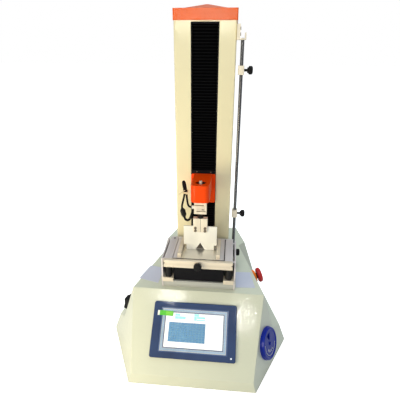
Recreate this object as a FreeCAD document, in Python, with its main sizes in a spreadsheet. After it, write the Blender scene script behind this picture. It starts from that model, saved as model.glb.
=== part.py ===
import FreeCAD, Part
import Sketcher
import math
import os
import re

# Meat tenderness tester: a bench shear-force machine.
# Frame: X to the right, Y to the back, Z up, origin on the bench in the middle of the column's front face.
# All sizes are in millimetres.

Vector = FreeCAD.Vector

SIZES = {
    # faceted base, half widths along X and reaches along Y
    "foot_height": 3,
    "foot_radius": 14,
    "foot_inset_across": 35,
    "foot_inset_along": 42,
    "deck_height": 163,
    "deck_front_half": 163,
    "deck_front_reach": 147,
    "waist_half": 104,
    "waist_reach": 94,
    "flare_half": 122,
    "flare_reach": 119,
    "deck_rear_half": 96,
    "deck_rear_reach": 215,
    "fold_height": 28,
    "fold_reach": 287,
    "toe_half": 147,
    "toe_reach": 290,
    "fin_half": 232,
    "fin_reach": 115,
    "fin_step_half": 212.4,
    "fin_step_reach": 118.8,
    "fin_step_height": 54.2,
    "wall_foot_half": 191,
    "wall_foot_reach": 151.4,
    "wall_foot_height": 71,
    "rear_fin_half": 171,
    "rear_fin_reach": 150,
    "heel_reach": 240,
    "shell_wall": 3,
    "floor_thickness": 2.5,
    # column
    "column_half": 71.5,
    "column_depth": 120,
    "column_wall": 2.5,
    "column_top": 778,
    "column_bend": 3,
    "slot_half": 32.2,
    "slot_low": 205,
    "slot_high": 775,
    "cap_height": 24,
    "cap_overhang": 1.5,
    "cap_peak": 14,
    "cap_margin": 12,
    # bellows
    "guide_width": 2.5,
    "pleat_depth": 11,
    "pleat_pitch": 7,
    "bellows_skin": 1,
    "bellows_bar": 4,
    "joint_gap": 0.3,
    "fit_gap": 0.05,
    # crosshead and load line
    "blade_reach": 82,
    "flange_half": 31.5,
    "flange_low": 344,
    "flange_high": 422,
    "flange_thickness": 4,
    "flange_standoff": 2,
    "end_bar_height": 9,
    "cover_half": 22.5,
    "cover_low": 381,
    "cover_high": 423.5,
    "cover_front": 104,
    "cover_wall": 2,
    "window_radius": 12.5,
    "window_set": 4,
    "arm_half": 14,
    "arm_low": 390,
    "arm_height": 18,
    "neck_half": 25,
    "neck_low": 352,
    "neck_high": 412,
    "carriage_half": 54,
    "carriage_low": 338,
    "carriage_high": 424,
    "carriage_front": 40,
    "carriage_depth": 44,
    "load_bolt_radius": 5,
    "load_bolt_head": 6.5,
    "load_bolt_brim": 3.5,
    "cell_half": 15.2,
    "cell_thickness": 12.7,
    "cell_low": 345.3,
    "cell_high": 375.5,
    "cell_slot": 2,
    "cell_margin": 6,
    "cell_eye": 4.5,
    "stud_radius": 4,
    "nut_across": 13,
    "nut_height": 6,
    "holder_half": 17.5,
    "holder_low": 296,
    "holder_shoulder": 310.3,
    "holder_high": 333,
    "holder_front": 4.5,
    "holder_rear": 5,
    "blade_thickness": 3,
    "blade_half": 41.8,
    "blade_high": 310,
    "blade_shoulder": 257.6,
    "blade_tip_half": 35,
    "blade_tip": 229.4,
    "notch_apex": 264.4,
    "notch_half_angle": 30,
    "screw_radius": 2,
    "screw_head": 3.4,
    "screw_head_height": 1.6,
    # sample table
    "plate_half": 88,
    "plate_front": 133,
    "plate_rear": 25,
    "plate_high": 180,
    "tab_width": 25.7,
    "tab_depth": 22,
    "tab_height": 11,
    "tab_ahead": 5,
    "side_plate": 3.5,
    "side_plate_drop": 2,
    "spacer_radius": 2.6,
    "spacer_inset": 8,
    "spacer_drop": 7,
    "post_radius": 8.5,
    "table_half": 84,
    "table_front": 144,
    "table_rear": 20,
    "table_low": 225,
    "table_high": 245,
    "bar_depth": 10,
    "strip_width": 20,
    "rear_strip": 6,
    "groove": 1.5,
    "insert_step": 5,
    "blade_slot": 4,
    "well_half_depth": 9,
    "rail_inner": 43,
    "rail_width": 9,
    "rail_height": 12,
    "rail_front": 129,
    "rail_rear": 46,
    "tray_half": 62,
    "tray_front": 128,
    "tray_rear": 34,
    "tray_wall": 3,
    # limit rod with its stops
    "rod_x": 85,
    "rod_y": 5,
    "rod_radius": 4,
    "rod_top": 742,
    "rod_collar": 7,
    "rod_shoulder": 1,
    "bracket_low": 738,
    "bracket_high": 770,
    "bracket_plate": 3,
    "bracket_leg": 7.5,
    "bracket_reach": 7.5,
    "bracket_lip": 14.5,
    "bracket_half": 12,
    "bracket_screw_first": 12,
    "bracket_screw_step": 12,
    "cover_screw_inset": 8,
    "cover_screw_end": 30,
    "upper_stop_at": 674,
    "lower_stop_at": 312,
    "foot_stop_at": 191,
    "stop_height": 20,
    "stop_inner": 8,
    "stop_outer": 6.5,
    "stop_half_depth": 9,
    "foot_stop_half": 5.6,
    "thumb_stem": 3,
    "thumb_stem_length": 7,
    "thumb_knob": 9.5,
    "thumb_length": 13,
    "flute_count": 12,
    "flute_radius": 1.3,
    "bar_knob": 9.7,
    "bar_knob_length": 14,
    # operator panel
    "panel_width": 200,
    "panel_length": 127,
    "panel_start": 30.3,
    "panel_offset": -2,
    "panel_rise": 6,
    "panel_body_depth": 34,
    "panel_body_margin": 5,
    "frame_margin": 19,
    "frame_end_margin": 13.5,
    "screen_glass": 1,
    "panel_corner": 5,
    # emergency stop, rocker switch, mains inlet
    "stop_run": 118,
    "stop_drop": 27,
    "collar_radius": 18.5,
    "collar_height": 9,
    "collar_bevel": 3,
    "stop_stem_radius": 8,
    "mushroom_radius": 20,
    "mushroom_height": 13,
    "mushroom_lip": 3,
    "switch_run": 16,
    "switch_drop": 64.5,
    "switch_length": 30,
    "switch_width": 25,
    "switch_lift": 12,
    "switch_rise": 1.5,
    "rocker_length": 26,
    "rocker_width": 20,
    "inlet_width": 50,
    "inlet_height": 27,
    "inlet_rise": 4,
    "inlet_x": -45,
    "inlet_z": 70,
    "socket_half": 12,
    "socket_rise": 8,
    "socket_corner": 4,
    "pin_spacing": 7,
    "pin_lift": 2,
    "pin_half": 1,
    "pin_half_length": 2,
    # status dial on the right cheek
    "dial_radius": 39,
    "dial_back": 4,
    "dial_thickness": 6,
    "dial_pin": 4,
    "dial_across": 97,
    "dial_up": 62.5,
    # drive inside the column
    "drive_y": 60,
    "screw_drive_radius": 8,
    "guide_rod_radius": 8,
    "guide_rod_spacing": 38,
    "lower_bearing": 196,
    "upper_bearing": 748,
    "bearing_plate": 12,
    "coupling_radius": 15,
    "motor_half": 43,
    "motor_length": 84,
    "nut_flange_radius": 22,
    "nut_flange_height": 8,
    # leads of the load cell
    "lead_radius": 2.5,
    "feed_radius": 3,
    "boot_radius": 4,
    "plug_radius": 6.5,
    "plug_length": 22,
    "plug_taper": 5,
    "plug_lip": 1.2,
    "tie_half_width": 4.4,
    "tie_half_depth": 7.8,
    "tie_wall": 1.4,
    "tie_height": 4,
    "stop_barrel_radius": 11,
    "stop_barrel_length": 22,
    "stop_travel": 4,
    "switch_wall": 1.5,
    "switch_depth": 24,
    "rocker_gap": 0.4,
    "rocker_up": 30,
    "rocker_down": 12,
    "rocker_dip": 3,
    "pivot_radius": 1.5,
    "inlet_wall": 2,
    "inlet_depth": 18,
    "cap_ridge": 3,
    "cap_round": 2.5,
    "guide_depth": 14,
    "pleat_start": 1,
    "flange_round": 4,
    "cover_round": 13,
    "cell_eye_gap": 3.2,
    "boot_length": 6,
    "boot_level": 361,
    "stud_grip": 6,
    "holder_screw_half": 12,
    "holder_screw_step": 7.5,
    "bar_bevel": 1,
    "knob_bevel": 1.5,
    "knob_neck": 0.65,
    "stop_round": 1.5,
    "panel_bevel": 1.2,
    "screen_depth": 0.8,
    "dial_window": 9,
}

doc = FreeCAD.newDocument("tenderness_tester")
sheet = doc.addObject("Spreadsheet::Sheet", "Sizes")
for row, (word, number) in enumerate(SIZES.items(), start=1):
    sheet.set("A%d" % row, word)
    sheet.set("B%d" % row, str(number))
    sheet.setAlias("B%d" % row, word)
doc.recompute()

WORD = re.compile(r"\b(%s)\b" % "|".join(sorted(SIZES, key=len, reverse=True)))
PARTS = []


def cells(text):
    """Formula in plain words, with each size name pointed at its cell."""
    return WORD.sub(r"Sizes.\1", str(text))


def value(text):
    """Number that a formula in size names stands for, worked out by the sheet."""
    return float(sheet.evalExpression(cells(text)))


def bind(item, prop, text):
    item.setExpression(prop, cells(text))


def place(item, at=("0", "0", "0")):
    for axis, text in zip("xyz", at):
        bind(item, "Placement.Base." + axis, text)
    return item


def keep(item, label):
    """Marks an object as one sub-part and gives it the name of its file."""
    item.Label = label
    PARTS.append(item)
    return item


def box(name, spans):
    """Box from three pairs of formulas, low and high along X, Y and Z."""
    item = doc.addObject("Part::Box", name)
    for prop, (low, high) in zip(("Length", "Width", "Height"), spans):
        bind(item, prop, "(%s) - (%s)" % (high, low))
    return place(item, [low for low, high in spans])


def rod(name, radius, at, length, axis="z"):
    """Cylinder that starts at a point and runs along +X, +Y or +Z."""
    item = doc.addObject("Part::Cylinder", name)
    bind(item, "Radius", radius)
    bind(item, "Height", length)
    turns = {"x": FreeCAD.Rotation(Vector(0, 1, 0), 90), "y": FreeCAD.Rotation(Vector(1, 0, 0), -90)}
    if axis in turns:
        item.Placement.Rotation = turns[axis]
    return place(item, at)


def fuse(name, items):
    item = doc.addObject("Part::MultiFuse", name)
    item.Shapes = items
    item.Refine = True
    return item


def cut(name, base, tool):
    item = doc.addObject("Part::Cut", name)
    item.Base = base
    item.Tool = tool
    item.Refine = True
    return item


def common(name, first, second):
    item = doc.addObject("Part::MultiCommon", name)
    item.Shapes = [first, second]
    item.Refine = True
    return item


def bundle(name, items):
    """Several equal solids kept as one sub-part."""
    item = doc.addObject("Part::Compound", name)
    item.Links = items
    return item


# Sketch-based bodies


def new_body(name):
    return doc.addObject("PartDesign::Body", name)


def plane_of(body, role):
    return [entry for entry in body.Origin.OriginFeatures if entry.Role == role][0]


def new_sketch(body, role, offset="0"):
    sketch = body.newObject("Sketcher::SketchObject", body.Name + "_sketch")
    sketch.AttachmentSupport = (plane_of(body, role), [""])
    sketch.MapMode = "FlatFace"
    bind(sketch, "AttachmentOffset.Base.z", offset)
    return sketch


def hold(sketch, point, across, up):
    """Two driven distances that hold one sketch point from the sketch's origin."""
    for kind, text in (("DistanceX", across), ("DistanceY", up)):
        index = sketch.addConstraint(Sketcher.Constraint(kind, -1, 1, point[0], point[1], value(text)))
        bind(sketch, "Constraints[%d]" % index, text)


def outline(sketch, corners):
    """Closed outline of straight edges through corners given as formulas."""
    points = [Vector(value(across), value(up), 0) for across, up in corners]
    first = sketch.GeometryCount
    count = len(points)
    for index in range(count):
        sketch.addGeometry(Part.LineSegment(points[index], points[(index + 1) % count]), False)
    for index in range(count):
        after = first + (index + 1) % count
        sketch.addConstraint(Sketcher.Constraint("Coincident", first + index, 2, after, 1))
    for index, (across, up) in enumerate(corners):
        hold(sketch, (first + index, 1), across, up)


def rectangle(sketch, low_across, low_up, high_across, high_up):
    outline(sketch, [(low_across, low_up), (high_across, low_up),
                     (high_across, high_up), (low_across, high_up)])


def circle(sketch, across, up, radius):
    geometry = Part.Circle(Vector(value(across), value(up), 0), Vector(0, 0, 1), value(radius))
    index = sketch.addGeometry(geometry, False)
    hold(sketch, (index, 3), across, up)
    bound = sketch.addConstraint(Sketcher.Constraint("Radius", index, value(radius)))
    bind(sketch, "Constraints[%d]" % bound, radius)


def pad(body, sketch, length, both=False, back=False):
    feature = body.newObject("PartDesign::Pad", body.Name + "_pad")
    feature.Profile = sketch
    bind(feature, "Length", length)
    feature.Midplane = both
    feature.Reversed = back
    doc.recompute()
    return feature


def pocket(body, sketch, length, both=False, back=False):
    before = body.Shape.Volume
    feature = body.newObject("PartDesign::Pocket", body.Name + "_pocket")
    feature.Profile = sketch
    bind(feature, "Length", length)
    feature.Midplane = both
    feature.Reversed = back
    doc.recompute()
    if body.Shape.Volume > before - 0.01:
        raise ValueError("a pocket in %s takes nothing away" % body.Name)
    return feature


def spin(body, sketch):
    """Revolution about the sketch's upright axis."""
    feature = body.newObject("PartDesign::Revolution", body.Name + "_turn")
    feature.Profile = sketch
    feature.ReferenceAxis = (sketch, ["V_Axis"])
    feature.Angle = 360
    doc.recompute()
    return feature


def repeat_round(body, feature, count):
    pattern = body.newObject("PartDesign::PolarPattern", body.Name + "_ring")
    pattern.Originals = [feature]
    axis = [entry for entry in body.Origin.OriginFeatures if entry.Role == "Z_Axis"][0]
    pattern.Axis = (axis, [""])
    pattern.Angle = 360
    bind(pattern, "Occurrences", count)
    body.Tip = pattern
    doc.recompute()
    return pattern


def edges_where(feature, test):
    names = []
    for index, edge in enumerate(feature.Shape.Edges, start=1):
        if test(edge):
            names.append("Edge%d" % index)
    return names


def runs_along(direction):
    """Test for straight edges in one direction."""
    def test(edge):
        if edge.Curve.TypeId != "Part::GeomLine":
            return False
        return abs(edge.Curve.Direction.dot(Vector(*direction))) > 0.999
    return test


def soften(body, names, radius, kind="Fillet"):
    base = body.Tip
    feature = body.newObject("PartDesign::" + kind, body.Name + "_" + kind.lower())
    feature.Base = (base, names)
    bind(feature, "Radius" if kind == "Fillet" else "Size", radius)
    doc.recompute()
    return feature


# Faceted base: half spaces through named corners

def corner(half, reach, height="0"):
    return Vector(value(half), value(reach), value(height))


def mirror(point):
    return Vector(-point.x, point.y, point.z)


def facet(first, second, third, inside):
    """Plane through three corners, its normal away from a point inside."""
    normal = (second - first).cross(third - first).normalize()
    if normal.dot(inside - first) > 0:
        normal = normal * -1
    return first, normal


def both_sides(planes):
    twins = [(mirror(point), mirror(normal)) for point, normal in planes]
    return planes + twins


def ground_meeting(first, second):
    """Point at bench level that lies on two planes."""
    (p, n), (q, m) = first, second
    right_p = n.dot(p)
    right_q = m.dot(q)
    determinant = n.x * m.y - n.y * m.x
    return Vector((right_p * m.y - right_q * n.y) / determinant,
                  (n.x * right_q - m.x * right_p) / determinant, 0)


BLOCK = 900


def trimmed_block(name, planes, inset):
    """Large block trimmed by planes that are first moved inward by an inset."""
    solid = doc.addObject("Part::Box", name + "_block")
    solid.Length = 2 * BLOCK
    solid.Width = 2 * BLOCK
    solid.Height = BLOCK
    solid.Placement.Base = Vector(-BLOCK, -BLOCK, value("foot_height") - (1 if inset else 0))
    for index, (point, normal) in enumerate(planes, start=1):
        knife = doc.addObject("Part::Box", "%s_knife_%d" % (name, index))
        knife.Length = 4 * BLOCK
        knife.Width = 4 * BLOCK
        knife.Height = BLOCK
        turn = FreeCAD.Rotation(Vector(0, 0, 1), normal)
        start = point - normal * inset
        knife.Placement = FreeCAD.Placement(start + turn.multVec(Vector(-2 * BLOCK, -2 * BLOCK, 0)), turn)
        solid = cut("%s_trim_%d" % (name, index), solid, knife)
        solid.Refine = False
    return solid


INSIDE = Vector(0, 0, 60)
deck_front = corner("deck_front_half", "-deck_front_reach", "deck_height")
fold = corner("toe_half", "-fold_reach", "fold_height")
toe = corner("toe_half", "-toe_reach")
fin = corner("fin_half", "-fin_reach")
fin_step = corner("fin_step_half", "-fin_step_reach", "fin_step_height")
wall_foot = corner("wall_foot_half", "-wall_foot_reach", "wall_foot_height")
waist = corner("waist_half", "waist_reach", "deck_height")
flare = corner("flare_half", "flare_reach", "deck_height")
deck_rear = corner("deck_rear_half", "deck_rear_reach", "deck_height")
rear_fin = corner("rear_fin_half", "rear_fin_reach")
heel = corner("deck_rear_half", "heel_reach")

deck = (deck_front, Vector(0, 0, 1))
front_panel = facet(deck_front, mirror(deck_front), fold, INSIDE)
chin = facet(fold, mirror(fold), toe, INSIDE)
cheek = facet(deck_front, toe, fin, INSIDE)
side_wall = facet(deck_front, wall_foot, waist, INSIDE)
fin_top = facet(wall_foot, fin_step, waist, INSIDE)
fin_side = facet(fin_step, fin, waist, INSIDE)
rear_face = facet(waist, flare, rear_fin, Vector(0, 120, 60))
rear_side = facet(flare, deck_rear, rear_fin, Vector(0, 120, 60))
back = facet(deck_rear, mirror(deck_rear), heel, Vector(0, 120, 60))
valley = ground_meeting(fin_side, rear_face)
front_end = facet(waist, mirror(waist), valley, INSIDE)


def faceted_form(name, inset):
    """Console with two fins in front and two behind, a waist between them."""
    front_caps = [deck, front_panel, chin, (front_end[0] + front_end[1] * inset, front_end[1])]
    console = trimmed_block(name + "_console", front_caps + both_sides([cheek, side_wall]), inset)
    fins = trimmed_block(name + "_fins", front_caps + both_sides([cheek, fin_top, fin_side]), inset)
    rear = trimmed_block(name + "_rear", [deck, back] + both_sides([rear_face, rear_side]), inset)
    return fuse(name, [console, fins, rear])


outer_form = faceted_form("base_outer", 0)
inner_form = faceted_form("base_inner", value("shell_wall"))

# Frames on the sloping faces: Z out of the face


def slope_frame(origin, along, normal):
    """Placement whose X runs along a face and whose Z stands on it."""
    out = Vector(normal).normalize()
    x_axis = Vector(along) - out * out.dot(along)
    x_axis.normalize()
    y_axis = out.cross(x_axis)
    turn = FreeCAD.Rotation(x_axis, y_axis, out, "ZXY")
    return FreeCAD.Placement(origin, turn)


panel_down = (Vector(0, fold.y, fold.z) - Vector(0, deck_front.y, deck_front.z)).normalize()
panel_centre = (Vector(value("panel_offset"), deck_front.y, deck_front.z)
                + panel_down * value("panel_start + panel_length / 2"))
panel_frame = slope_frame(panel_centre, Vector(1, 0, 0), front_panel[1])

edge_back = (waist - deck_front).normalize()
wall_down = edge_back.cross(side_wall[1]).normalize()
if wall_down.z > 0:
    wall_down = wall_down * -1


def wall_point(run, drop):
    """Point on the right side wall, measured along and down from the deck's front corner."""
    return deck_front + edge_back * value(run) + wall_down * (value(drop) / -wall_down.z)


stop_frame = slope_frame(wall_point("stop_run", "stop_drop"), edge_back, side_wall[1])
switch_place = slope_frame(wall_point("switch_run", "switch_drop"), edge_back, side_wall[1])
switch_seat = slope_frame(mirror(switch_place.Base), mirror(wall_down), mirror(side_wall[1]))
switch_pivot = switch_seat.Base + mirror(side_wall[1]) * value("switch_lift")
switch_frame = FreeCAD.Placement(switch_pivot, switch_seat.Rotation)

cheek_out = (fin - toe).normalize()
cheek_up = cheek[1].cross(cheek_out)
if cheek_up.z < 0:
    cheek_up = cheek_up * -1
dial_centre = toe + cheek_out * value("dial_across") + cheek_up * value("dial_up")
dial_frame = slope_frame(dial_centre, cheek_out, cheek[1])

back_normal = back[1]
back_share = value("inlet_z") / value("deck_height")
inlet_frame = slope_frame(
    Vector(value("inlet_x"), heel.y + (deck_rear.y - heel.y) * back_share, value("inlet_z")),
    Vector(1, 0, 0), back_normal)

# Base shell with its cut-outs


def framed(name, item, placement):
    """Carries a piece that was drawn at the origin into a sloping frame."""
    holder = bundle(name, [item])
    holder.Placement = placement
    return holder


panel_hole = framed("panel_cutout", box("panel_hole", [
    ("-panel_width / 2 + panel_body_margin - joint_gap", "panel_width / 2 - panel_body_margin + joint_gap"),
    ("-panel_length / 2 + panel_body_margin - joint_gap", "panel_length / 2 - panel_body_margin + joint_gap"),
    ("-4 * shell_wall", "4 * shell_wall")]), panel_frame)
stop_hole = framed("stop_cutout", rod(
    "stop_hole", "stop_barrel_radius + fit_gap", ("0", "0", "-4 * shell_wall"), "8 * shell_wall"), stop_frame)
switch_hole = framed("switch_cutout", box("switch_hole", [
    ("-rocker_length / 2 - 2 * switch_wall", "rocker_length / 2 + 2 * switch_wall"),
    ("-rocker_width / 2 - 2 * switch_wall", "rocker_width / 2 + 2 * switch_wall"),
    ("-4 * shell_wall", "4 * shell_wall")]), switch_seat)
inlet_hole = framed("inlet_cutout", box("inlet_hole", [
    ("-inlet_width / 2 + inlet_wall", "inlet_width / 2 - inlet_wall"),
    ("-inlet_height / 2 + inlet_wall", "inlet_height / 2 - inlet_wall"),
    ("-4 * shell_wall", "4 * shell_wall")]), inlet_frame)
drive_hole = rod("drive_hole", "coupling_radius + 2", ("0", "drive_y", "deck_height - 4 * shell_wall"),
                 "8 * shell_wall")
pin_hole = framed("dial_cutout", rod(
    "pin_hole", "dial_pin / 2 + fit_gap", ("0", "0", "-4 * shell_wall"), "8 * shell_wall"), dial_frame)
hollow = fuse("base_hollow", [inner_form, drive_hole])
openings = bundle("base_openings", [panel_hole, stop_hole, switch_hole, inlet_hole, pin_hole])
keep(cut("base_skin", cut("base_bowl", outer_form, hollow), openings), "base_shell")

floor_form = faceted_form("base_floor_form", value("shell_wall + joint_gap"))
floor_slab = box("floor_slab", [("-fin_half", "fin_half"), ("-toe_reach", "heel_reach"),
                                ("foot_height", "foot_height + floor_thickness")])
keep(common("floor_plate", floor_form, floor_slab), "base_floor")

feet = []
for end, half, reach in (("front", "toe_half", "-toe_reach + foot_inset_along"),
                         ("rear", "rear_fin_half", "rear_fin_reach")):
    for side, sign in (("left", "-1"), ("right", "1")):
        across = "%s * (%s - foot_inset_across)" % (sign, half)
        feet.append(rod("foot_%s_%s" % (end, side), "foot_radius", (across, reach, "0"), "foot_height"))
keep(bundle("rubber_feet", feet), "feet")

# Column: folded sheet housing with a slot in front

column = new_body("column")
section = new_sketch(column, "XY_Plane", "deck_height")
outline(section, [
    ("-column_half", "column_depth"), ("-column_half", "0"), ("column_half", "0"),
    ("column_half", "column_depth"), ("column_half - column_wall", "column_depth"),
    ("column_half - column_wall", "column_wall"), ("-column_half + column_wall", "column_wall"),
    ("-column_half + column_wall", "column_depth")])
column_pad = pad(column, section, "column_top - deck_height")
soften(column, edges_where(column_pad, lambda edge: runs_along((0, 0, 1))(edge)
                           and edge.CenterOfMass.y < 0.1), "column_bend")
slot_cut = new_sketch(column, "XZ_Plane", "-column_wall")
rectangle(slot_cut, "-slot_half", "slot_low", "slot_half", "slot_high")
pocket(column, slot_cut, "2 * column_wall", back=True)
keep(column, "column_shell")

keep(box("back_cover", [("-column_half", "column_half"), ("column_depth", "column_depth + column_wall"),
                        ("deck_height", "column_top")]), "column_back_cover")

cap = new_body("cap")
rim = new_sketch(cap, "XY_Plane", "column_top")
rectangle(rim, "-column_half - cap_overhang", "-cap_overhang",
          "column_half + cap_overhang", "column_depth + column_wall + cap_overhang")
pad(cap, rim, "cap_height")
hip_low = new_sketch(cap, "XY_Plane", "column_top + cap_height")
rectangle(hip_low, "-column_half + cap_margin", "cap_margin",
          "column_half - cap_margin", "column_depth - cap_margin")
hip_high = new_sketch(cap, "XY_Plane", "column_top + cap_height + cap_peak")
rectangle(hip_high, "-cap_ridge", "column_depth / 2 - cap_ridge",
          "cap_ridge", "column_depth / 2 + cap_ridge")
hip = cap.newObject("PartDesign::AdditiveLoft", "cap_hip")
hip.Profile = hip_low
hip.Sections = [hip_high]
hip.Ruled = True
doc.recompute()
soften(cap, edges_where(hip, runs_along((0, 0, 1))), "cap_round")
keep(cap, "column_cap")

ring_outer = box("ring_outer", [
    ("-slot_half + joint_gap", "slot_half - joint_gap"), ("0", "guide_depth"),
    ("slot_low + joint_gap", "slot_high - joint_gap")])
ring_inner = box("ring_inner", [
    ("-slot_half + guide_width", "slot_half - guide_width"), ("-1", "guide_depth + 1"),
    ("slot_low + bellows_bar", "slot_high - bellows_bar")])
keep(cut("guide_ring", ring_outer, ring_inner), "bellows_frame")


def bellows(label, low, high):
    """Pleated cover over the slot: a thin back sheet with one pleat repeated upward."""
    body = new_body(label + "_body")
    sheet_line = new_sketch(body, "YZ_Plane")
    rectangle(sheet_line, "pleat_start + pleat_depth", low, "pleat_start + pleat_depth + bellows_skin", high)
    pad(body, sheet_line, "2 * (slot_half - guide_width - joint_gap)", both=True)
    pleat_line = new_sketch(body, "YZ_Plane")
    outline(pleat_line, [("pleat_start + pleat_depth", low),
                         ("pleat_start + pleat_depth", low + " + pleat_pitch"),
                         ("pleat_start", low + " + pleat_pitch / 2")])
    pleat = pad(body, pleat_line, "2 * (slot_half - guide_width - joint_gap)", both=True)
    row = body.newObject("PartDesign::LinearPattern", body.Name + "_row")
    row.Originals = [pleat]
    row.Direction = (pleat_line, ["V_Axis"])
    count = "floor((%s - (%s)) / pleat_pitch)" % (high, low)
    bind(row, "Length", "pleat_pitch * (%s - 1)" % count)
    bind(row, "Occurrences", count)
    body.Tip = row
    doc.recompute()
    return keep(body, label)


bellows("bellows_upper", "flange_high", "slot_high - bellows_bar - joint_gap")
bellows("bellows_lower", "slot_low + bellows_bar + joint_gap", "flange_low + joint_gap")

# Crosshead: carriage in the column, flange and cover in front

BACK_OF_FLANGE = "-flange_standoff"
FRONT_OF_FLANGE = "-flange_standoff - flange_thickness"

carriage_block = box("carriage_block", [
    ("-carriage_half", "carriage_half"), ("carriage_front", "carriage_front + carriage_depth"),
    ("carriage_low", "carriage_high")])
neck = box("carriage_neck", [("-neck_half", "neck_half"), (BACK_OF_FLANGE, "carriage_front"),
                             ("neck_low", "neck_high")])
carriage_solid = fuse("carriage_solid", [carriage_block, neck])
bores = [rod("carriage_bore_" + word, "guide_rod_radius + fit_gap",
             (across, "drive_y", "carriage_low - 1"), "carriage_high - carriage_low + 2")
         for word, across in (("left", "-guide_rod_spacing"), ("right", "guide_rod_spacing"))]
bores.append(rod("carriage_bore_middle", "screw_drive_radius + 1",
                 ("0", "drive_y", "carriage_low - 1"), "carriage_high - carriage_low + 2"))
keep(cut("carriage_bored", carriage_solid, bundle("carriage_bores", bores)), "crosshead_carriage")

nut_flange = rod("nut_flange", "nut_flange_radius", ("0", "drive_y", "carriage_low - nut_flange_height"),
                 "nut_flange_height")
nut_bore = rod("nut_bore", "screw_drive_radius + fit_gap",
               ("0", "drive_y", "carriage_low - nut_flange_height - 1"), "nut_flange_height + 2")
keep(cut("nut_ring", nut_flange, nut_bore), "drive_nut")

flange = new_body("flange")
flange_line = new_sketch(flange, "XZ_Plane", "flange_standoff")
rectangle(flange_line, "-flange_half", "flange_low", "flange_half", "flange_high")
flange_pad = pad(flange, flange_line, "flange_thickness")
soften(flange, edges_where(flange_pad, runs_along((0, 1, 0))), "flange_round")
keep(flange, "crosshead_flange")

keep(box("end_bar", [("-flange_half + 2", "flange_half - 2"),
                     ("-flange_standoff - 1.5", "-joint_gap"),
                     ("flange_high + joint_gap", "flange_high + end_bar_height")]), "bellows_end_bar")

cover = new_body("cover")
cover_line = new_sketch(cover, "XY_Plane", "cover_low")
rectangle(cover_line, "-cover_half", "-cover_front", "cover_half", FRONT_OF_FLANGE)
pad(cover, cover_line, "cover_high - cover_low")
cavity_line = new_sketch(cover, "XY_Plane", "cover_low")
rectangle(cavity_line, "-cover_half + cover_wall", "-cover_front + cover_wall",
          "cover_half - cover_wall", FRONT_OF_FLANGE)
pocket(cover, cavity_line, "cover_high - cover_low - cover_wall", back=True)
for wall_at, radius in (("cover_half", "cover_round"),
                        ("cover_half - cover_wall", "cover_round - cover_wall")):
    soften(cover, edges_where(cover.Tip, lambda edge: runs_along((0, 0, 1))(edge)
                              and edge.CenterOfMass.y < -value("blade_reach")
                              and abs(abs(edge.CenterOfMass.x) - value(wall_at)) < 0.1), radius)
window_line = new_sketch(cover, "XY_Plane", "cover_high - cover_wall")
circle(window_line, "0", "-blade_reach + window_set", "window_radius")
pocket(cover, window_line, "2 * cover_wall", back=True)
keep(cover, "crosshead_cover")

arm_bar = box("arm_bar", [("-arm_half", "arm_half"), ("-cover_front + 2 * cover_wall", FRONT_OF_FLANGE),
                          ("arm_low", "arm_low + arm_height")])
arm_hole = rod("arm_hole", "load_bolt_radius + fit_gap", ("0", "-blade_reach", "arm_low - 1"),
               "arm_height + 2")
keep(cut("arm_bored", arm_bar, arm_hole), "crosshead_arm")

# Load line: bolt, S-shaped cell, stud, blade holder and blade

bolt = new_body("bolt")
bolt_half = new_sketch(bolt, "XZ_Plane")
outline(bolt_half, [
    ("0", "cell_high - cell_margin + 1"), ("load_bolt_radius", "cell_high - cell_margin + 1"),
    ("load_bolt_radius", "arm_low + arm_height"),
    ("load_bolt_radius + load_bolt_brim", "arm_low + arm_height"),
    ("load_bolt_radius + load_bolt_brim", "arm_low + arm_height + load_bolt_head"),
    ("load_bolt_radius / 2", "arm_low + arm_height + load_bolt_head"),
    ("load_bolt_radius / 2", "arm_low + arm_height + load_bolt_head / 2"),
    ("0", "arm_low + arm_height + load_bolt_head / 2")])
spin(bolt, bolt_half)
bind(bolt, "Placement.Base.y", "-blade_reach")
keep(bolt, "load_bolt")

cell = new_body("cell")
cell_line = new_sketch(cell, "XZ_Plane")
rectangle(cell_line, "-cell_half", "cell_low", "cell_half", "cell_high")
pad(cell, cell_line, "cell_thickness", both=True)
cell_slots = new_sketch(cell, "XZ_Plane")
rectangle(cell_slots, "-cell_half - 1", "cell_high - cell_margin - cell_slot",
          "cell_half - cell_margin", "cell_high - cell_margin")
rectangle(cell_slots, "-cell_half + cell_margin", "cell_low + cell_margin",
          "cell_half + 1", "cell_low + cell_margin + cell_slot")
pocket(cell, cell_slots, "cell_thickness + 2", both=True)
cell_eye = new_sketch(cell, "XZ_Plane")
circle(cell_eye, "-cell_eye_gap", "(cell_low + cell_high) / 2", "cell_eye")
circle(cell_eye, "cell_eye_gap", "(cell_low + cell_high) / 2", "cell_eye")
pocket(cell, cell_eye, "cell_thickness + 2", both=True)
for level, reach in (("cell_high - cell_margin + 0.5", "load_bolt_radius + fit_gap"),
                     ("cell_low - 1", "stud_radius + fit_gap")):
    bore_line = new_sketch(cell, "XY_Plane", level)
    circle(bore_line, "0", "0", reach)
    pocket(cell, bore_line, "cell_margin + 0.5", back=True)
bind(cell, "Placement.Base.y", "-blade_reach")
keep(cell, "load_cell")

keep(rod("boot", "boot_radius", ("-cell_half - boot_length", "-blade_reach", "boot_level"),
         "boot_length", "x"), "cell_boot")

stud_rod = rod("stud_rod", "stud_radius", ("0", "-blade_reach", "holder_high - stud_grip"),
               "cell_low + cell_margin - 1 - (holder_high - stud_grip)")
nut = doc.addObject("Part::Prism", "stud_nut_body")
nut.Polygon = 6
bind(nut, "Circumradius", "nut_across / 2 / cos(30)")
bind(nut, "Height", "nut_height")
place(nut, ("0", "-blade_reach", "holder_high"))
keep(fuse("stud_with_nut", [stud_rod, nut]), "load_stud")

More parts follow.
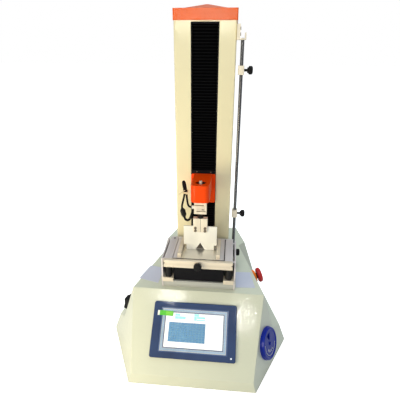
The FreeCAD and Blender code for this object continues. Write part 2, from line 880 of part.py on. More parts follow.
holder = new_body("holder")
holder_line = new_sketch(holder, "YZ_Plane")
GRIP = "(blade_thickness / 2 + fit_gap)"
outline(holder_line, [
    ("-blade_reach - %s - holder_front" % GRIP, "holder_low"), ("-blade_reach - " + GRIP, "holder_low"),
    ("-blade_reach - " + GRIP, "holder_shoulder"), ("-blade_reach + " + GRIP, "holder_shoulder"),
    ("-blade_reach + " + GRIP, "holder_low"), ("-blade_reach + %s + holder_rear" % GRIP, "holder_low"),
    ("-blade_reach + %s + holder_rear" % GRIP, "holder_high"),
    ("-blade_reach - %s - holder_front" % GRIP, "holder_high")])
pad(holder, holder_line, "2 * holder_half", both=True)
stud_bore = new_sketch(holder, "XY_Plane", "holder_high")
circle(stud_bore, "0", "-blade_reach", "stud_radius + fit_gap")
pocket(holder, stud_bore, "stud_grip + 0.5")
grip_bores = new_sketch(holder, "XZ_Plane", "blade_reach + blade_thickness / 2")
for across in ("-holder_screw_half", "holder_screw_half"):
    for up in ("holder_low + holder_screw_step / 2", "holder_low + 3 * holder_screw_step / 2"):
        circle(grip_bores, across, up, "screw_radius + fit_gap")
pocket(holder, grip_bores, "holder_front + 1", back=True)
keep(holder, "blade_holder")

grip_screws = []
for side, across in (("left", "-holder_screw_half"), ("right", "holder_screw_half")):
    for rank, up in (("low", "holder_low + holder_screw_step / 2"),
                     ("high", "holder_low + 3 * holder_screw_step / 2")):
        name = "grip_%s_%s" % (side, rank)
        face = "-blade_reach - %s - holder_front" % GRIP
        head = rod(name + "_head", "screw_head", (across, face + " - screw_head_height", up),
                   "screw_head_height", "y")
        shank = rod(name + "_shank", "screw_radius", (across, face, up), "holder_front", "y")
        grip_screws.append(fuse(name, [head, shank]))
keep(bundle("grip_screws", grip_screws), "holder_screws")

blade = new_body("blade")
blade_line = new_sketch(blade, "XZ_Plane", "blade_reach")
NOTCH = "((notch_apex - blade_tip) * tan(notch_half_angle))"
outline(blade_line, [
    ("-blade_half", "blade_high"), ("-blade_half", "blade_shoulder"),
    ("-blade_tip_half", "blade_shoulder"), ("-blade_tip_half", "blade_tip"),
    ("-" + NOTCH, "blade_tip"), ("0", "notch_apex"), (NOTCH, "blade_tip"),
    ("blade_tip_half", "blade_tip"), ("blade_tip_half", "blade_shoulder"),
    ("blade_half", "blade_shoulder"), ("blade_half", "blade_high")])
pad(blade, blade_line, "blade_thickness", both=True)
keep(blade, "shear_blade")

# Lead of the load cell, held by the crosshead


def tube(name, points, radius):
    """Round tube along straight runs joined by tangent arcs."""
    points = [Vector(*point) for point in points]
    edges = []
    start = points[0]
    radii = []
    for before, at, after in zip(points, points[1:], points[2:]):
        inward = (at - before).normalize()
        outward = (after - at).normalize()
        run = min((at - before).Length, (after - at).Length)
        half_turn = inward.getAngle(outward) / 2
        trim = 0.45 * run
        first = at - inward * trim
        last = at + outward * trim
        half_tan = math.tan(half_turn)
        radii.append(trim / half_tan)
        middle_way = (outward - inward).normalize()
        centre = at + middle_way * (radii[-1] / math.cos(half_turn))
        middle = centre - middle_way * radii[-1]
        edges.append(Part.LineSegment(start, first).toShape())
        edges.append(Part.Arc(first, middle, last).toShape())
        start = last
    edges.append(Part.LineSegment(start, points[-1]).toShape())
    wire = Part.Wire(edges)
    ring = Part.Wire(Part.Circle(points[0], points[1] - points[0], radius).toShape())
    solid = wire.makePipeShell([ring], True, True)
    share = solid.Volume / (math.pi * radius ** 2 * wire.Length)
    print(name, "length %.1f" % wire.Length, "radii", ["%.1f" % r for r in radii], "share %.3f" % share)
    item = doc.addObject("Part::Feature", name)
    item.Shape = solid
    return item


CELL_LEAD = [(-21.2, -82, 361), (-28, -82, 361), (-32, -78.5, 367.5), (-35, -70, 381), (-37.5, -61, 394),
             (-40, -56, 406), (-43.5, -52.5, 418), (-45.5, -65.5, 418.5), (-42.5, -69, 406),
             (-40, -70, 394), (-42, -71.5, 381), (-45, -73.5, 368), (-47.3, -75, 358.57), (-46, -75, 353)]
PLUG_LEAD = [(-41, -75, 331.58), (-39.3, -75, 324.3), (-34.1, -75, 321.3), (-28.3, -74.5, 323),
             (-24.3, -72.5, 332), (-21, -67, 344), (-17.5, -60, 359), (-14.5, -54, 374), (-14, -50, 387)]
keep(tube("cell_lead_tube", CELL_LEAD, value("lead_radius")), "cell_lead")
keep(tube("plug_lead_tube", PLUG_LEAD, value("feed_radius")), "plug_lead")

plug = new_body("plug")
plug_half = new_sketch(plug, "XZ_Plane")
outline(plug_half, [
    ("0", "0"), ("feed_radius + plug_lip", "0"), ("plug_radius", "plug_taper"),
    ("plug_radius", "plug_length - plug_taper"), ("lead_radius + plug_lip", "plug_length"),
    ("0", "plug_length")])
spin(plug, plug_half)
plug_foot = Vector(*PLUG_LEAD[0])
plug_way = Vector(*CELL_LEAD[-1]) - plug_foot
plug.Placement = FreeCAD.Placement(plug_foot, FreeCAD.Rotation(Vector(0, 0, 1), plug_way))
keep(plug, "lead_plug")

TIE_AT = Vector(-38.8, -65.4, 392)
tie_hole = box("tie_hole", [
    ("-tie_half_width", "tie_half_width"), ("-tie_half_depth", "tie_half_depth"), ("-1", "tie_height + 1")])
tie_block = box("tie_block", [
    ("-tie_half_width - tie_wall", "tie_half_width + tie_wall"),
    ("-tie_half_depth - tie_wall", "tie_half_depth + tie_wall"), ("0", "tie_height")])
tie_ring = cut("tie_ring", tie_block, tie_hole)
keep(framed("tie_band", tie_ring, FreeCAD.Placement(TIE_AT, FreeCAD.Rotation())), "cable_tie")

# Sample table with the slotted shear insert

keep(box("foot_plate", [("-plate_half", "plate_half"), ("-plate_front", "-plate_rear"),
                        ("deck_height", "plate_high")]), "lower_plate")

tabs = []
posts = []
for side, low in (("left", "-plate_half"), ("right", "plate_half - tab_width")):
    for end, front in (("front", "-plate_front - tab_ahead"), ("rear", "-plate_rear - tab_depth")):
        tabs.append(box("tab_%s_%s" % (side, end), [
            (low, "%s + tab_width" % low), (front, "%s + tab_depth" % front),
            ("plate_high", "plate_high + tab_height")]))
        middle = ("%s + tab_width / 2" % low, "%s + tab_depth / 2" % front, "plate_high + tab_height")
        posts.append(rod("post_%s_%s" % (side, end), "post_radius", middle,
                         "table_low - plate_high - tab_height"))
keep(bundle("clamp_tabs", tabs), "plate_tabs")
keep(bundle("table_columns", posts), "table_posts")

end_plates = []
for side, low, inner in (("left", "-plate_half - side_plate", "-plate_half"),
                         ("right", "plate_half", "table_half")):
    pieces = [box("end_sheet_" + side, [
        (low, low + " + side_plate"), ("-table_front + bar_depth", "-plate_rear"),
        ("deck_height", "table_high - side_plate_drop")])]
    for end, reach in (("front", "-table_front + bar_depth + spacer_inset"),
                       ("rear", "-plate_rear - spacer_inset")):
        pieces.append(rod("spacer_%s_%s" % (side, end), "spacer_radius",
                          (inner, reach, "table_high - spacer_drop"), "plate_half - table_half", "x"))
    end_plates.append(fuse("end_plate_" + side, pieces))
keep(bundle("end_plates", end_plates), "side_plates")

tray_block = box("tray_block", [("-tray_half", "tray_half"), ("-tray_front", "-tray_rear"),
                                ("plate_high", "table_low - joint_gap")])
tray_hollow = box("tray_hollow", [("-tray_half + tray_wall", "tray_half - tray_wall"),
                                  ("-tray_front + tray_wall", "-tray_rear - tray_wall"),
                                  ("plate_high + tray_wall", "table_low + 1")])
keep(cut("tray_box", tray_block, tray_hollow), "catch_tray")

INSERT_HALF = "(table_half - strip_width - groove)"
INSERT_FRONT = "(table_front - bar_depth - groove)"
INSERT_REAR = "(table_rear + rear_strip + groove)"

frame_body = new_body("table")
frame_line = new_sketch(frame_body, "XY_Plane", "table_low")
outline(frame_line, [
    ("-table_half", "-table_front + bar_depth"), ("-table_half + strip_width", "-table_front + bar_depth"),
    ("-table_half + strip_width", "-table_rear - rear_strip"),
    ("table_half - strip_width", "-table_rear - rear_strip"),
    ("table_half - strip_width", "-table_front + bar_depth"), ("table_half", "-table_front + bar_depth"),
    ("table_half", "-table_rear"), ("-table_half", "-table_rear")])
pad(frame_body, frame_line, "table_high - table_low")
keep(frame_body, "table_frame")

bar = new_body("bar")
bar_line = new_sketch(bar, "XY_Plane", "table_low")
rectangle(bar_line, "-table_half", "-table_front", "table_half", "-table_front + bar_depth")
bar_pad = pad(bar, bar_line, "table_high - table_low")
soften(bar, edges_where(bar_pad, lambda edge: runs_along((1, 0, 0))(edge)
                        and edge.CenterOfMass.y < -value("table_front") + 1), "bar_bevel", "Chamfer")
keep(bar, "table_bar")

insert = new_body("insert")
insert_line = new_sketch(insert, "XY_Plane", "table_low")
rectangle(insert_line, "-" + INSERT_HALF, "-" + INSERT_FRONT, INSERT_HALF, "-" + INSERT_REAR)
pad(insert, insert_line, "table_high - table_low")
channel_line = new_sketch(insert, "XY_Plane", "table_high - insert_step")
rectangle(channel_line, "-rail_inner", "-" + INSERT_FRONT + " - 1", "rail_inner", "-" + INSERT_REAR + " + 1")
pocket(insert, channel_line, "2 * insert_step", back=True)
well_line = new_sketch(insert, "XY_Plane", "table_high")
rectangle(well_line, "-rail_inner", "-blade_reach - well_half_depth",
          "rail_inner", "-blade_reach + well_half_depth")
pocket(insert, well_line, "table_high - table_low + 1")
keep(insert, "shear_insert")

slot_plates = []
for end, front, rear in (("front", "-" + INSERT_FRONT, "-blade_reach - blade_slot / 2"),
                         ("rear", "-blade_reach + blade_slot / 2", "-" + INSERT_REAR)):
    slot_plates.append(box("slot_plate_" + end, [
        ("-rail_inner + fit_gap", "rail_inner - fit_gap"), (front, rear),
        ("table_high - insert_step", "table_high")]))
keep(bundle("shear_plates", slot_plates), "slot_plates")

rails = []
for side, low in (("left", "-rail_inner - rail_width"), ("right", "rail_inner")):
    rails.append(box("rail_" + side, [(low, low + " + rail_width"), ("-rail_front", "-rail_rear"),
                                      ("table_high", "table_high + rail_height")]))
keep(bundle("blade_rails", rails), "guide_rails")


def knob(label, stem_radius, stem_length, radius, length):
    """Fluted knob on a stem, drawn along +Z from the stem's root."""
    body = new_body(label + "_body")
    half = new_sketch(body, "XZ_Plane")
    end = "%s + %s" % (stem_length, length)
    outline(half, [
        ("0", "0"), (stem_radius, "0"), (stem_radius, stem_length), (radius + " * knob_neck", stem_length),
        (radius + " * knob_neck", "%s + %s / 6" % (stem_length, length)),
        (radius, "%s + %s / 3" % (stem_length, length)), (radius, end + " - 2 * knob_bevel"),
        (radius + " - knob_bevel", end + " - knob_bevel / 2"), (radius + " / 2", end), ("0", end)])
    spin(body, half)
    flute_line = new_sketch(body, "XY_Plane", stem_length + " - 0.5")
    circle(flute_line, radius, "0", "flute_radius")
    flute = pocket(body, flute_line, length + " + 1", back=True)
    repeat_round(body, flute, "flute_count")
    return keep(body, label)


TO_RIGHT = FreeCAD.Rotation(Vector(0, 1, 0), 90)
TO_FRONT = FreeCAD.Rotation(Vector(1, 0, 0), 90)

bar_knob = knob("bar_knob", "thumb_stem", "joint_gap", "bar_knob", "bar_knob_length")
bar_knob.Placement.Rotation = TO_FRONT
place(bar_knob, ("0", "-table_front", "(table_low + table_high) / 2"))

# Limit rod, its bracket and the three clamping stops

rod_body = new_body("limit")
rod_half = new_sketch(rod_body, "XZ_Plane")
outline(rod_half, [
    ("0", "deck_height"), ("rod_radius + rod_shoulder", "deck_height"),
    ("rod_radius + rod_shoulder", "deck_height + rod_collar / 2"), ("rod_radius", "deck_height + rod_collar"),
    ("rod_radius", "rod_top - 1"), ("rod_radius - 1", "rod_top"), ("0", "rod_top")])
spin(rod_body, rod_half)
place(rod_body, ("rod_x", "rod_y", "0"))
keep(rod_body, "limit_rod")

bracket = new_body("bracket")
bracket_line = new_sketch(bracket, "XZ_Plane", "-rod_y")
outline(bracket_line, [
    ("column_half", "bracket_low"), ("rod_x + bracket_reach", "bracket_low"),
    ("rod_x + bracket_reach", "bracket_low + bracket_lip"),
    ("rod_x + bracket_reach - bracket_plate", "bracket_low + bracket_lip"),
    ("rod_x + bracket_reach - bracket_plate", "bracket_low + bracket_plate"),
    ("column_half + bracket_leg", "bracket_low + bracket_plate"),
    ("column_half + bracket_leg", "bracket_high"), ("column_half", "bracket_high")])
pad(bracket, bracket_line, "2 * bracket_half", both=True)
bracket_bore = new_sketch(bracket, "XY_Plane", "bracket_low - 1")
circle(bracket_bore, "rod_x", "rod_y", "rod_radius + fit_gap")
pocket(bracket, bracket_bore, "bracket_plate + 2", back=True)
keep(bracket, "rod_bracket")


def stop_set(label, level, inner, outer, half_depth, stem_length):
    """Clamping block on the limit rod with its thumb screw."""
    block = new_body(label + "_block")
    line = new_sketch(block, "XY_Plane", "%s - stop_height / 2" % level)
    rectangle(line, "rod_x - " + inner, "rod_y - " + half_depth, "rod_x + " + outer, "rod_y + " + half_depth)
    solid = pad(block, line, "stop_height")
    soften(block, edges_where(solid, runs_along((0, 0, 1))), "stop_round")
    bore = new_sketch(block, "XY_Plane", "%s - stop_height / 2 - 1" % level)
    circle(bore, "rod_x", "rod_y", "rod_radius + fit_gap")
    pocket(block, bore, "stop_height + 2", back=True)
    keep(block, label)
    thumb = knob(label + "_knob", "thumb_stem", stem_length, "thumb_knob", "thumb_length")
    thumb.Placement.Rotation = TO_RIGHT
    place(thumb, ("rod_x + %s + fit_gap" % outer, "rod_y", level))


stop_set("upper_stop", "upper_stop_at", "stop_inner", "stop_outer", "stop_half_depth", "thumb_stem_length")
stop_set("lower_stop", "lower_stop_at", "stop_inner", "stop_outer", "stop_half_depth", "thumb_stem_length")
stop_set("foot_stop", "foot_stop_at", "foot_stop_half", "foot_stop_half", "foot_stop_half", "joint_gap")

screws = []
for index in range(2):
    screws.append(rod("bracket_screw_%d" % index, "screw_head",
                      ("column_half + bracket_leg", "rod_y + bracket_half / 3",
                       "bracket_low + bracket_screw_first + %d * bracket_screw_step" % index),
                      "screw_head_height", "x"))
for side, sign in (("left", "-1"), ("right", "1")):
    for index in range(3):
        span = "(column_top - deck_height - 2 * cover_screw_end)"
        level = "deck_height + cover_screw_end + %d * %s / 2" % (index, span)
        spot = ("%s * (column_half - cover_screw_inset)" % sign, "column_depth + column_wall", level)
        screws.append(rod("cover_screw_%s_%d" % (side, index), "screw_head", spot, "screw_head_height", "y"))
keep(bundle("housing_screws", screws), "housing_screws")

# Operator panel on the front slope

bezel = new_body("bezel")
bezel_line = new_sketch(bezel, "XY_Plane")
rectangle(bezel_line, "-panel_width / 2", "-panel_length / 2", "panel_width / 2", "panel_length / 2")
bezel_pad = pad(bezel, bezel_line, "panel_rise")
soften(bezel, edges_where(bezel_pad, runs_along((0, 0, 1))), "panel_corner")
rim_edges = edges_where(bezel.Tip, lambda edge: abs(edge.BoundBox.ZMin - value("panel_rise")) < 0.01)
soften(bezel, rim_edges, "panel_bevel", "Chamfer")
body_line = new_sketch(bezel, "XY_Plane", "-panel_body_depth")
rectangle(body_line, "-panel_width / 2 + panel_body_margin", "-panel_length / 2 + panel_body_margin",
          "panel_width / 2 - panel_body_margin", "panel_length / 2 - panel_body_margin")
pad(bezel, body_line, "panel_body_depth")
glass_line = new_sketch(bezel, "XY_Plane", "panel_rise")
rectangle(glass_line, "-panel_width / 2 + frame_margin", "-panel_length / 2 + frame_end_margin",
          "panel_width / 2 - frame_margin", "panel_length / 2 - frame_end_margin")
pocket(bezel, glass_line, "screen_depth + screen_glass")
bezel.Placement = panel_frame
keep(bezel, "panel_bezel")

glass = box("screen_slab", [
    ("-panel_width / 2 + frame_margin + joint_gap", "panel_width / 2 - frame_margin - joint_gap"),
    ("-panel_length / 2 + frame_end_margin + joint_gap", "panel_length / 2 - frame_end_margin - joint_gap"),
    ("panel_rise - screen_depth - screen_glass", "panel_rise - screen_depth")])
keep(framed("screen_plate", glass, panel_frame), "panel_screen")

# Emergency stop on the right side wall

collar = new_body("collar")
collar_half = new_sketch(collar, "XZ_Plane")
outline(collar_half, [
    ("stop_stem_radius + fit_gap", "-stop_barrel_length"), ("stop_barrel_radius", "-stop_barrel_length"),
    ("stop_barrel_radius", "0"), ("collar_radius", "0"), ("collar_radius", "collar_height / 2"),
    ("collar_radius - collar_bevel", "collar_height"), ("stop_stem_radius + fit_gap", "collar_height")])
spin(collar, collar_half)
collar.Placement = stop_frame
keep(collar, "stop_collar")

keep(framed("stop_stem_seat", rod("stop_stem_rod", "stop_stem_radius",
                                  ("0", "0", "-stop_barrel_length + stop_travel + 1"),
                                  "stop_barrel_length + collar_height - 1"), stop_frame), "stop_stem")

mushroom = new_body("mushroom")
mushroom_half = new_sketch(mushroom, "XZ_Plane")
TOP = "(collar_height + stop_travel + mushroom_height)"
outline(mushroom_half, [
    ("0", "collar_height + stop_travel"), ("mushroom_radius - mushroom_lip", "collar_height + stop_travel"),
    ("mushroom_radius", "collar_height + stop_travel + mushroom_lip"), ("mushroom_radius", TOP + " - 5"),
    ("mushroom_radius - 1.5", TOP + " - 2.5"), ("mushroom_radius - 5", TOP + " - 0.8"), ("0", TOP)])
spin(mushroom, mushroom_half)
mushroom.Placement = stop_frame
keep(mushroom, "stop_mushroom")

# Rocker switch on the left side wall

surround = new_body("surround")
surround_line = new_sketch(surround, "XY_Plane", "-switch_depth")
rectangle(surround_line, "-rocker_length / 2 - switch_wall", "-rocker_width / 2 - switch_wall",
          "rocker_length / 2 + switch_wall", "rocker_width / 2 + switch_wall")
pad(surround, surround_line, "switch_depth")
lip_line = new_sketch(surround, "XY_Plane", "-switch_lift")
rectangle(lip_line, "-switch_length / 2", "-switch_width / 2", "switch_length / 2", "switch_width / 2")
pad(surround, lip_line, "switch_lift + switch_rise")
mouth_line = new_sketch(surround, "XY_Plane", "switch_rise")
rectangle(mouth_line, "-rocker_length / 2", "-rocker_width / 2", "rocker_length / 2", "rocker_width / 2")
pocket(surround, mouth_line, "switch_rise + switch_depth - 2")
pivot_bore = new_sketch(surround, "XZ_Plane")
circle(pivot_bore, "0", "0", "pivot_radius + fit_gap")
pocket(surround, pivot_bore, "rocker_width + switch_wall + 2 * fit_gap", both=True)
surround.Placement = switch_frame
keep(surround, "switch_frame")

rocker = new_body("rocker")
rocker_line = new_sketch(rocker, "XZ_Plane")
ARM = "(rocker_length / 2 - rocker_gap)"
outline(rocker_line, [
    ("-%s * cos(rocker_up)" % ARM, ARM + " * sin(rocker_up)"), ("rocker_dip / 6", "rocker_dip"),
    (ARM + " * cos(rocker_down)", ARM + " * sin(rocker_down)"), (ARM + " * cos(10)", "-%s * sin(10)" % ARM),
    (ARM + " * cos(45)", "-%s * sin(45)" % ARM), ("-%s * cos(45)" % ARM, "-%s * sin(45)" % ARM),
    ("-%s * cos(10)" % ARM, "-%s * sin(10)" % ARM)])
pad(rocker, rocker_line, "rocker_width - 2 * rocker_gap", both=True)
pivot_line = new_sketch(rocker, "XZ_Plane")
circle(pivot_line, "0", "0", "pivot_radius")
pad(rocker, pivot_line, "rocker_width + switch_wall", both=True)
rocker.Placement = switch_frame
keep(rocker, "switch_rocker")

# Mains inlet at the back

inlet = new_body("inlet")
inlet_core = new_sketch(inlet, "XY_Plane", "-inlet_depth")
INLET_ACROSS = "(inlet_width / 2 - inlet_wall - joint_gap)"
INLET_UP = "(inlet_height / 2 - inlet_wall - joint_gap)"
rectangle(inlet_core, "-" + INLET_ACROSS, "-" + INLET_UP, INLET_ACROSS, INLET_UP)
pad(inlet, inlet_core, "inlet_depth")
inlet_lip = new_sketch(inlet, "XY_Plane")
rectangle(inlet_lip, "-inlet_width / 2", "-inlet_height / 2", "inlet_width / 2", "inlet_height / 2")
pad(inlet, inlet_lip, "inlet_rise")
socket_line = new_sketch(inlet, "XY_Plane", "inlet_rise")
outline(socket_line, [
    ("-socket_half", "-socket_rise"), ("socket_half", "-socket_rise"),
    ("socket_half", "socket_rise - socket_corner"), ("socket_half - socket_corner", "socket_rise"),
    ("-socket_half + socket_corner", "socket_rise"), ("-socket_half", "socket_rise - socket_corner")])
pocket(inlet, socket_line, "inlet_rise + inlet_depth - 3")
pins_line = new_sketch(inlet, "XY_Plane", "-inlet_depth + 3")
for across, up in (("-pin_spacing", "-pin_lift"), ("0", "pin_lift"), ("pin_spacing", "-pin_lift")):
    rectangle(pins_line, across + " - pin_half", up + " - pin_half_length",
              across + " + pin_half", up + " + pin_half_length")
pad(inlet, pins_line, "inlet_depth - 4")
inlet.Placement = inlet_frame
keep(inlet, "mains_inlet")

# Status dial on the right cheek

dial_back = new_body("dial_plate")
dial_half = new_sketch(dial_back, "XZ_Plane")
outline(dial_half, [
    ("0", "-2 * shell_wall"), ("dial_pin / 2", "-2 * shell_wall"), ("dial_pin / 2", "0"),
    ("dial_radius", "0"), ("dial_radius", "dial_back - 1"), ("dial_radius - 1", "dial_back"),
    ("dial_pin", "dial_back"), ("dial_pin", "dial_back + dial_thickness + 1"),
    ("0", "dial_back + dial_thickness + 1.5")])
spin(dial_back, dial_half)
dial_back.Placement = dial_frame
keep(dial_back, "dial_plate")

dial = new_body("dial")
dial_face = new_sketch(dial, "XZ_Plane")
LIFT = "(dial_back + joint_gap)"
outline(dial_face, [
    ("dial_pin + fit_gap", LIFT), ("dial_radius - 1.5", LIFT),
    ("dial_radius - 1.5", LIFT + " + dial_thickness - 1.5"), ("dial_radius - 3", LIFT + " + dial_thickness"),
    ("dial_radius - 6", LIFT + " + dial_thickness"), ("dial_radius - 7.5", LIFT + " + dial_thickness - 1.5"),
    ("dial_pin + fit_gap", LIFT + " + dial_thickness - 1.5")])
spin(dial, dial_face)
window = new_sketch(dial, "XY_Plane", "dial_back - 1")
outline(window, [("-dial_window / 4", "dial_radius / 4"), ("dial_window / 4", "dial_radius / 4"),
                 ("dial_window", "dial_radius / 1.5"), ("-dial_window", "dial_radius / 1.5")])
pocket(dial, window, "2 * dial_thickness", back=True)
dial.Placement = dial_frame
keep(dial, "status_dial")

# Drive: motor under the deck, coupling and screw, guide rods and bearing plates

motor = new_body("motor")
motor_line = new_sketch(motor, "XY_Plane", "deck_height - shell_wall - motor_length")
rectangle(motor_line, "-motor_half", "drive_y - motor_half", "motor_half", "drive_y + motor_half")
motor_pad = pad(motor, motor_line, "motor_length")
soften(motor, edges_where(motor_pad, runs_along((0, 0, 1))), "2 * flange_round", "Chamfer")
keep(motor, "drive_motor")

lead = new_body("lead")
lead_half = new_sketch(lead, "XZ_Plane")
outline(lead_half, [
    ("0", "deck_height - shell_wall + joint_gap"),
    ("coupling_radius", "deck_height - shell_wall + joint_gap"),
    ("coupling_radius", "lower_bearing - 1"), ("screw_drive_radius", "lower_bearing - 1"),
    ("screw_drive_radius", "upper_bearing + bearing_plate"), ("0", "upper_bearing + bearing_plate")])
spin(lead, lead_half)
place(lead, ("0", "drive_y", "0"))
keep(lead, "lead_screw")

plates = []
for word, level in (("lower", "lower_bearing"), ("upper", "upper_bearing")):
    slab = box("bearing_%s_slab" % word, [
        ("-column_half + column_wall", "column_half - column_wall"), ("guide_depth + 8", "column_depth"),
        (level, level + " + bearing_plate")])
    holes = [rod("bearing_%s_%s" % (word, spot), radius + " + fit_gap", (across, "drive_y", level + " - 1"),
                 "bearing_plate + 2")
             for spot, across, radius in (("left", "-guide_rod_spacing", "guide_rod_radius"),
                                          ("right", "guide_rod_spacing", "guide_rod_radius"),
                                          ("middle", "0", "screw_drive_radius"))]
    plates.append(cut("bearing_" + word, slab, bundle("bearing_%s_holes" % word, holes)))
keep(bundle("bearings", plates), "bearing_plates")

guides = [rod("guide_" + word, "guide_rod_radius", (across, "drive_y", "lower_bearing"),
              "upper_bearing + bearing_plate - lower_bearing")
          for word, across in (("left", "-guide_rod_spacing"), ("right", "guide_rod_spacing"))]
keep(bundle("guide_pair", guides), "guide_rods")

# Checks, then one file for each sub-part

doc.recompute()
faults = []
for item in doc.Objects:
    if "Invalid" in item.State or "Error" in item.State:
        faults.append("%s %s" % (item.Name, item.State))
for item in PARTS:
    if item.Shape.isNull() or not item.Shape.isValid() or not item.Shape.Solids:
        faults.append("%s has no sound shape" % item.Label)
if faults:
    raise RuntimeError("; ".join(faults))

os.makedirs("parts", exist_ok=True)
for item in PARTS:
    item.Shape.exportStep("parts/%s.step" % item.Label)
print(len(PARTS), "sub-parts")
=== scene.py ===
"""Meat tenderness tester: looks for the bench shear-force machine, built over its fixed solids.

Lengths are in metres, in the frame of the solids: X right, Y back, Z up, origin on the bench. Plain numbers
in the tables of shapes are millimetres.
"""
from __future__ import annotations

import logging
import math
from dataclasses import dataclass, field
from enum import Enum
from typing import Iterable, Sequence

import bmesh
import bpy
from mathutils import Matrix, Vector

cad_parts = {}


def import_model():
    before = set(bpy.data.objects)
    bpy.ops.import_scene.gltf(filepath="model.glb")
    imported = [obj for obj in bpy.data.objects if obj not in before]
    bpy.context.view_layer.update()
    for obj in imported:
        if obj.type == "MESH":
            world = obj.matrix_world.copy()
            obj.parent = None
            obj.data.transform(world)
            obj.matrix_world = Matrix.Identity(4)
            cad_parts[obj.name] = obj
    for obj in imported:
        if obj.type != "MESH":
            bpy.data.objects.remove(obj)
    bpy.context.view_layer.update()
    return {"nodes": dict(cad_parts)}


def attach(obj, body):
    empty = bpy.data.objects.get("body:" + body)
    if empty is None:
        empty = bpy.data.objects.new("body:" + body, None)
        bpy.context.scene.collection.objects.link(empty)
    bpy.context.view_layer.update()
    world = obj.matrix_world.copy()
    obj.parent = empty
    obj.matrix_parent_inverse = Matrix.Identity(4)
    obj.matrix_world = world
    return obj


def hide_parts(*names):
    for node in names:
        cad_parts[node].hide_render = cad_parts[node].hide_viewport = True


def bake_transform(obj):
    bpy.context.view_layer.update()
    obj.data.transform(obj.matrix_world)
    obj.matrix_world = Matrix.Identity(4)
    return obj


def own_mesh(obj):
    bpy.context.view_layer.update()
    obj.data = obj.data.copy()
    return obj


LOG = logging.getLogger("tenderness_tester")
MM = 0.001
FLOAT, VECTOR, MATERIAL = "NodeSocketFloat", "NodeSocketVector", "NodeSocketMaterial"
COAT_ROUGHNESS = 0.05
BUMP_HEIGHT = 0.4 * MM
# Edges are painted lighter by these: partly rubbed paint, partly a painted highlight where rounded edges catch
# the light.
RUB_AND_HIGHLIGHT_GAIN, RUB_AND_HIGHLIGHT_LIFT = 1.5, 0.03
# Sockets of a Mix node for colours: its two inputs and its result
COLOUR_A, COLOUR_B, MIXED = 6, 7, 2

Colour = tuple[float, float, float]
Point = tuple[float, float, float]
Area = tuple[float, float, float, float]
Link = tuple[bpy.types.Node, str | int, bpy.types.Node, str | int]


def linear(red: float, green: float, blue: float) -> Colour:
    """Turns a display colour of 0 to 255 into a linear one.

    Args:
        red: Red share.
        green: Green share.
        blue: Blue share.

    Returns:
        The linear colour.
    """
    def one(value: float) -> float:
        """Linear value of one share."""
        share = value / 255
        return share / 12.92 if share <= 0.04045 else ((share + 0.055) / 1.055) ** 2.4
    return one(red), one(green), one(blue)


def at(x: float, y: float, z: float) -> Vector:
    """Point given in millimetres."""
    return Vector((x, y, z)) * MM


def scaled(points: Iterable[Sequence[float]]) -> list[tuple[float, ...]]:
    """Turns points in millimetres into metres."""
    return [tuple(v * MM for v in point) for point in points]


class Style(Enum):
    """How a finish breaks up its surface."""

    POWDER = "powder"
    BRUSHED = "brushed"
    GROUND = "ground"
    MOULDED = "moulded"
    CLOTH = "cloth"
    SMOOTH = "smooth"


class NodeTree:
    """Small helper that adds nodes to a tree and links them by socket name."""

    def __init__(self, tree: bpy.types.NodeTree) -> None:
        """Keeps the tree that it fills."""
        self.tree = tree

    @classmethod
    def cleared(cls, owner: bpy.types.Material | bpy.types.World) -> NodeTree:
        """Takes on the emptied tree of a material or world.

        Args:
            owner: The material or world.

        Returns:
            The helper for its tree.
        """
        owner.use_nodes = True
        owner.node_tree.nodes.clear()
        return cls(owner.node_tree)

    def add(self, kind: str, **settings: object) -> bpy.types.Node:
        """Adds one node.

        Args:
            kind: Blender's node type.
            settings: Properties of the node, or values of inputs named with underscores for spaces.

        Returns:
            The new node.
        """
        node = self.tree.nodes.new(kind)
        for name, value in settings.items():
            if hasattr(node, name):
                setattr(node, name, value)
            else:
                node.inputs[name.replace("_", " ")].default_value = value
        return node

    def maths(self, operation: str, value: float | None = None) -> bpy.types.Node:
        """Adds a maths node.

        Args:
            operation: What the node works out.
            value: Its second input, where that is a fixed number.

        Returns:
            The new node.
        """
        node = self.add("ShaderNodeMath", operation=operation)
        if value is not None:
            node.inputs[1].default_value = value
        return node

    def link(self, *links: Link) -> None:
        """Joins outputs to inputs.

        Args:
            links: The node that gives, its socket, the node that takes and its socket, for each link.
        """
        for source, output, target, entry in links:
            self.tree.links.new(source.outputs[output], target.inputs[entry])


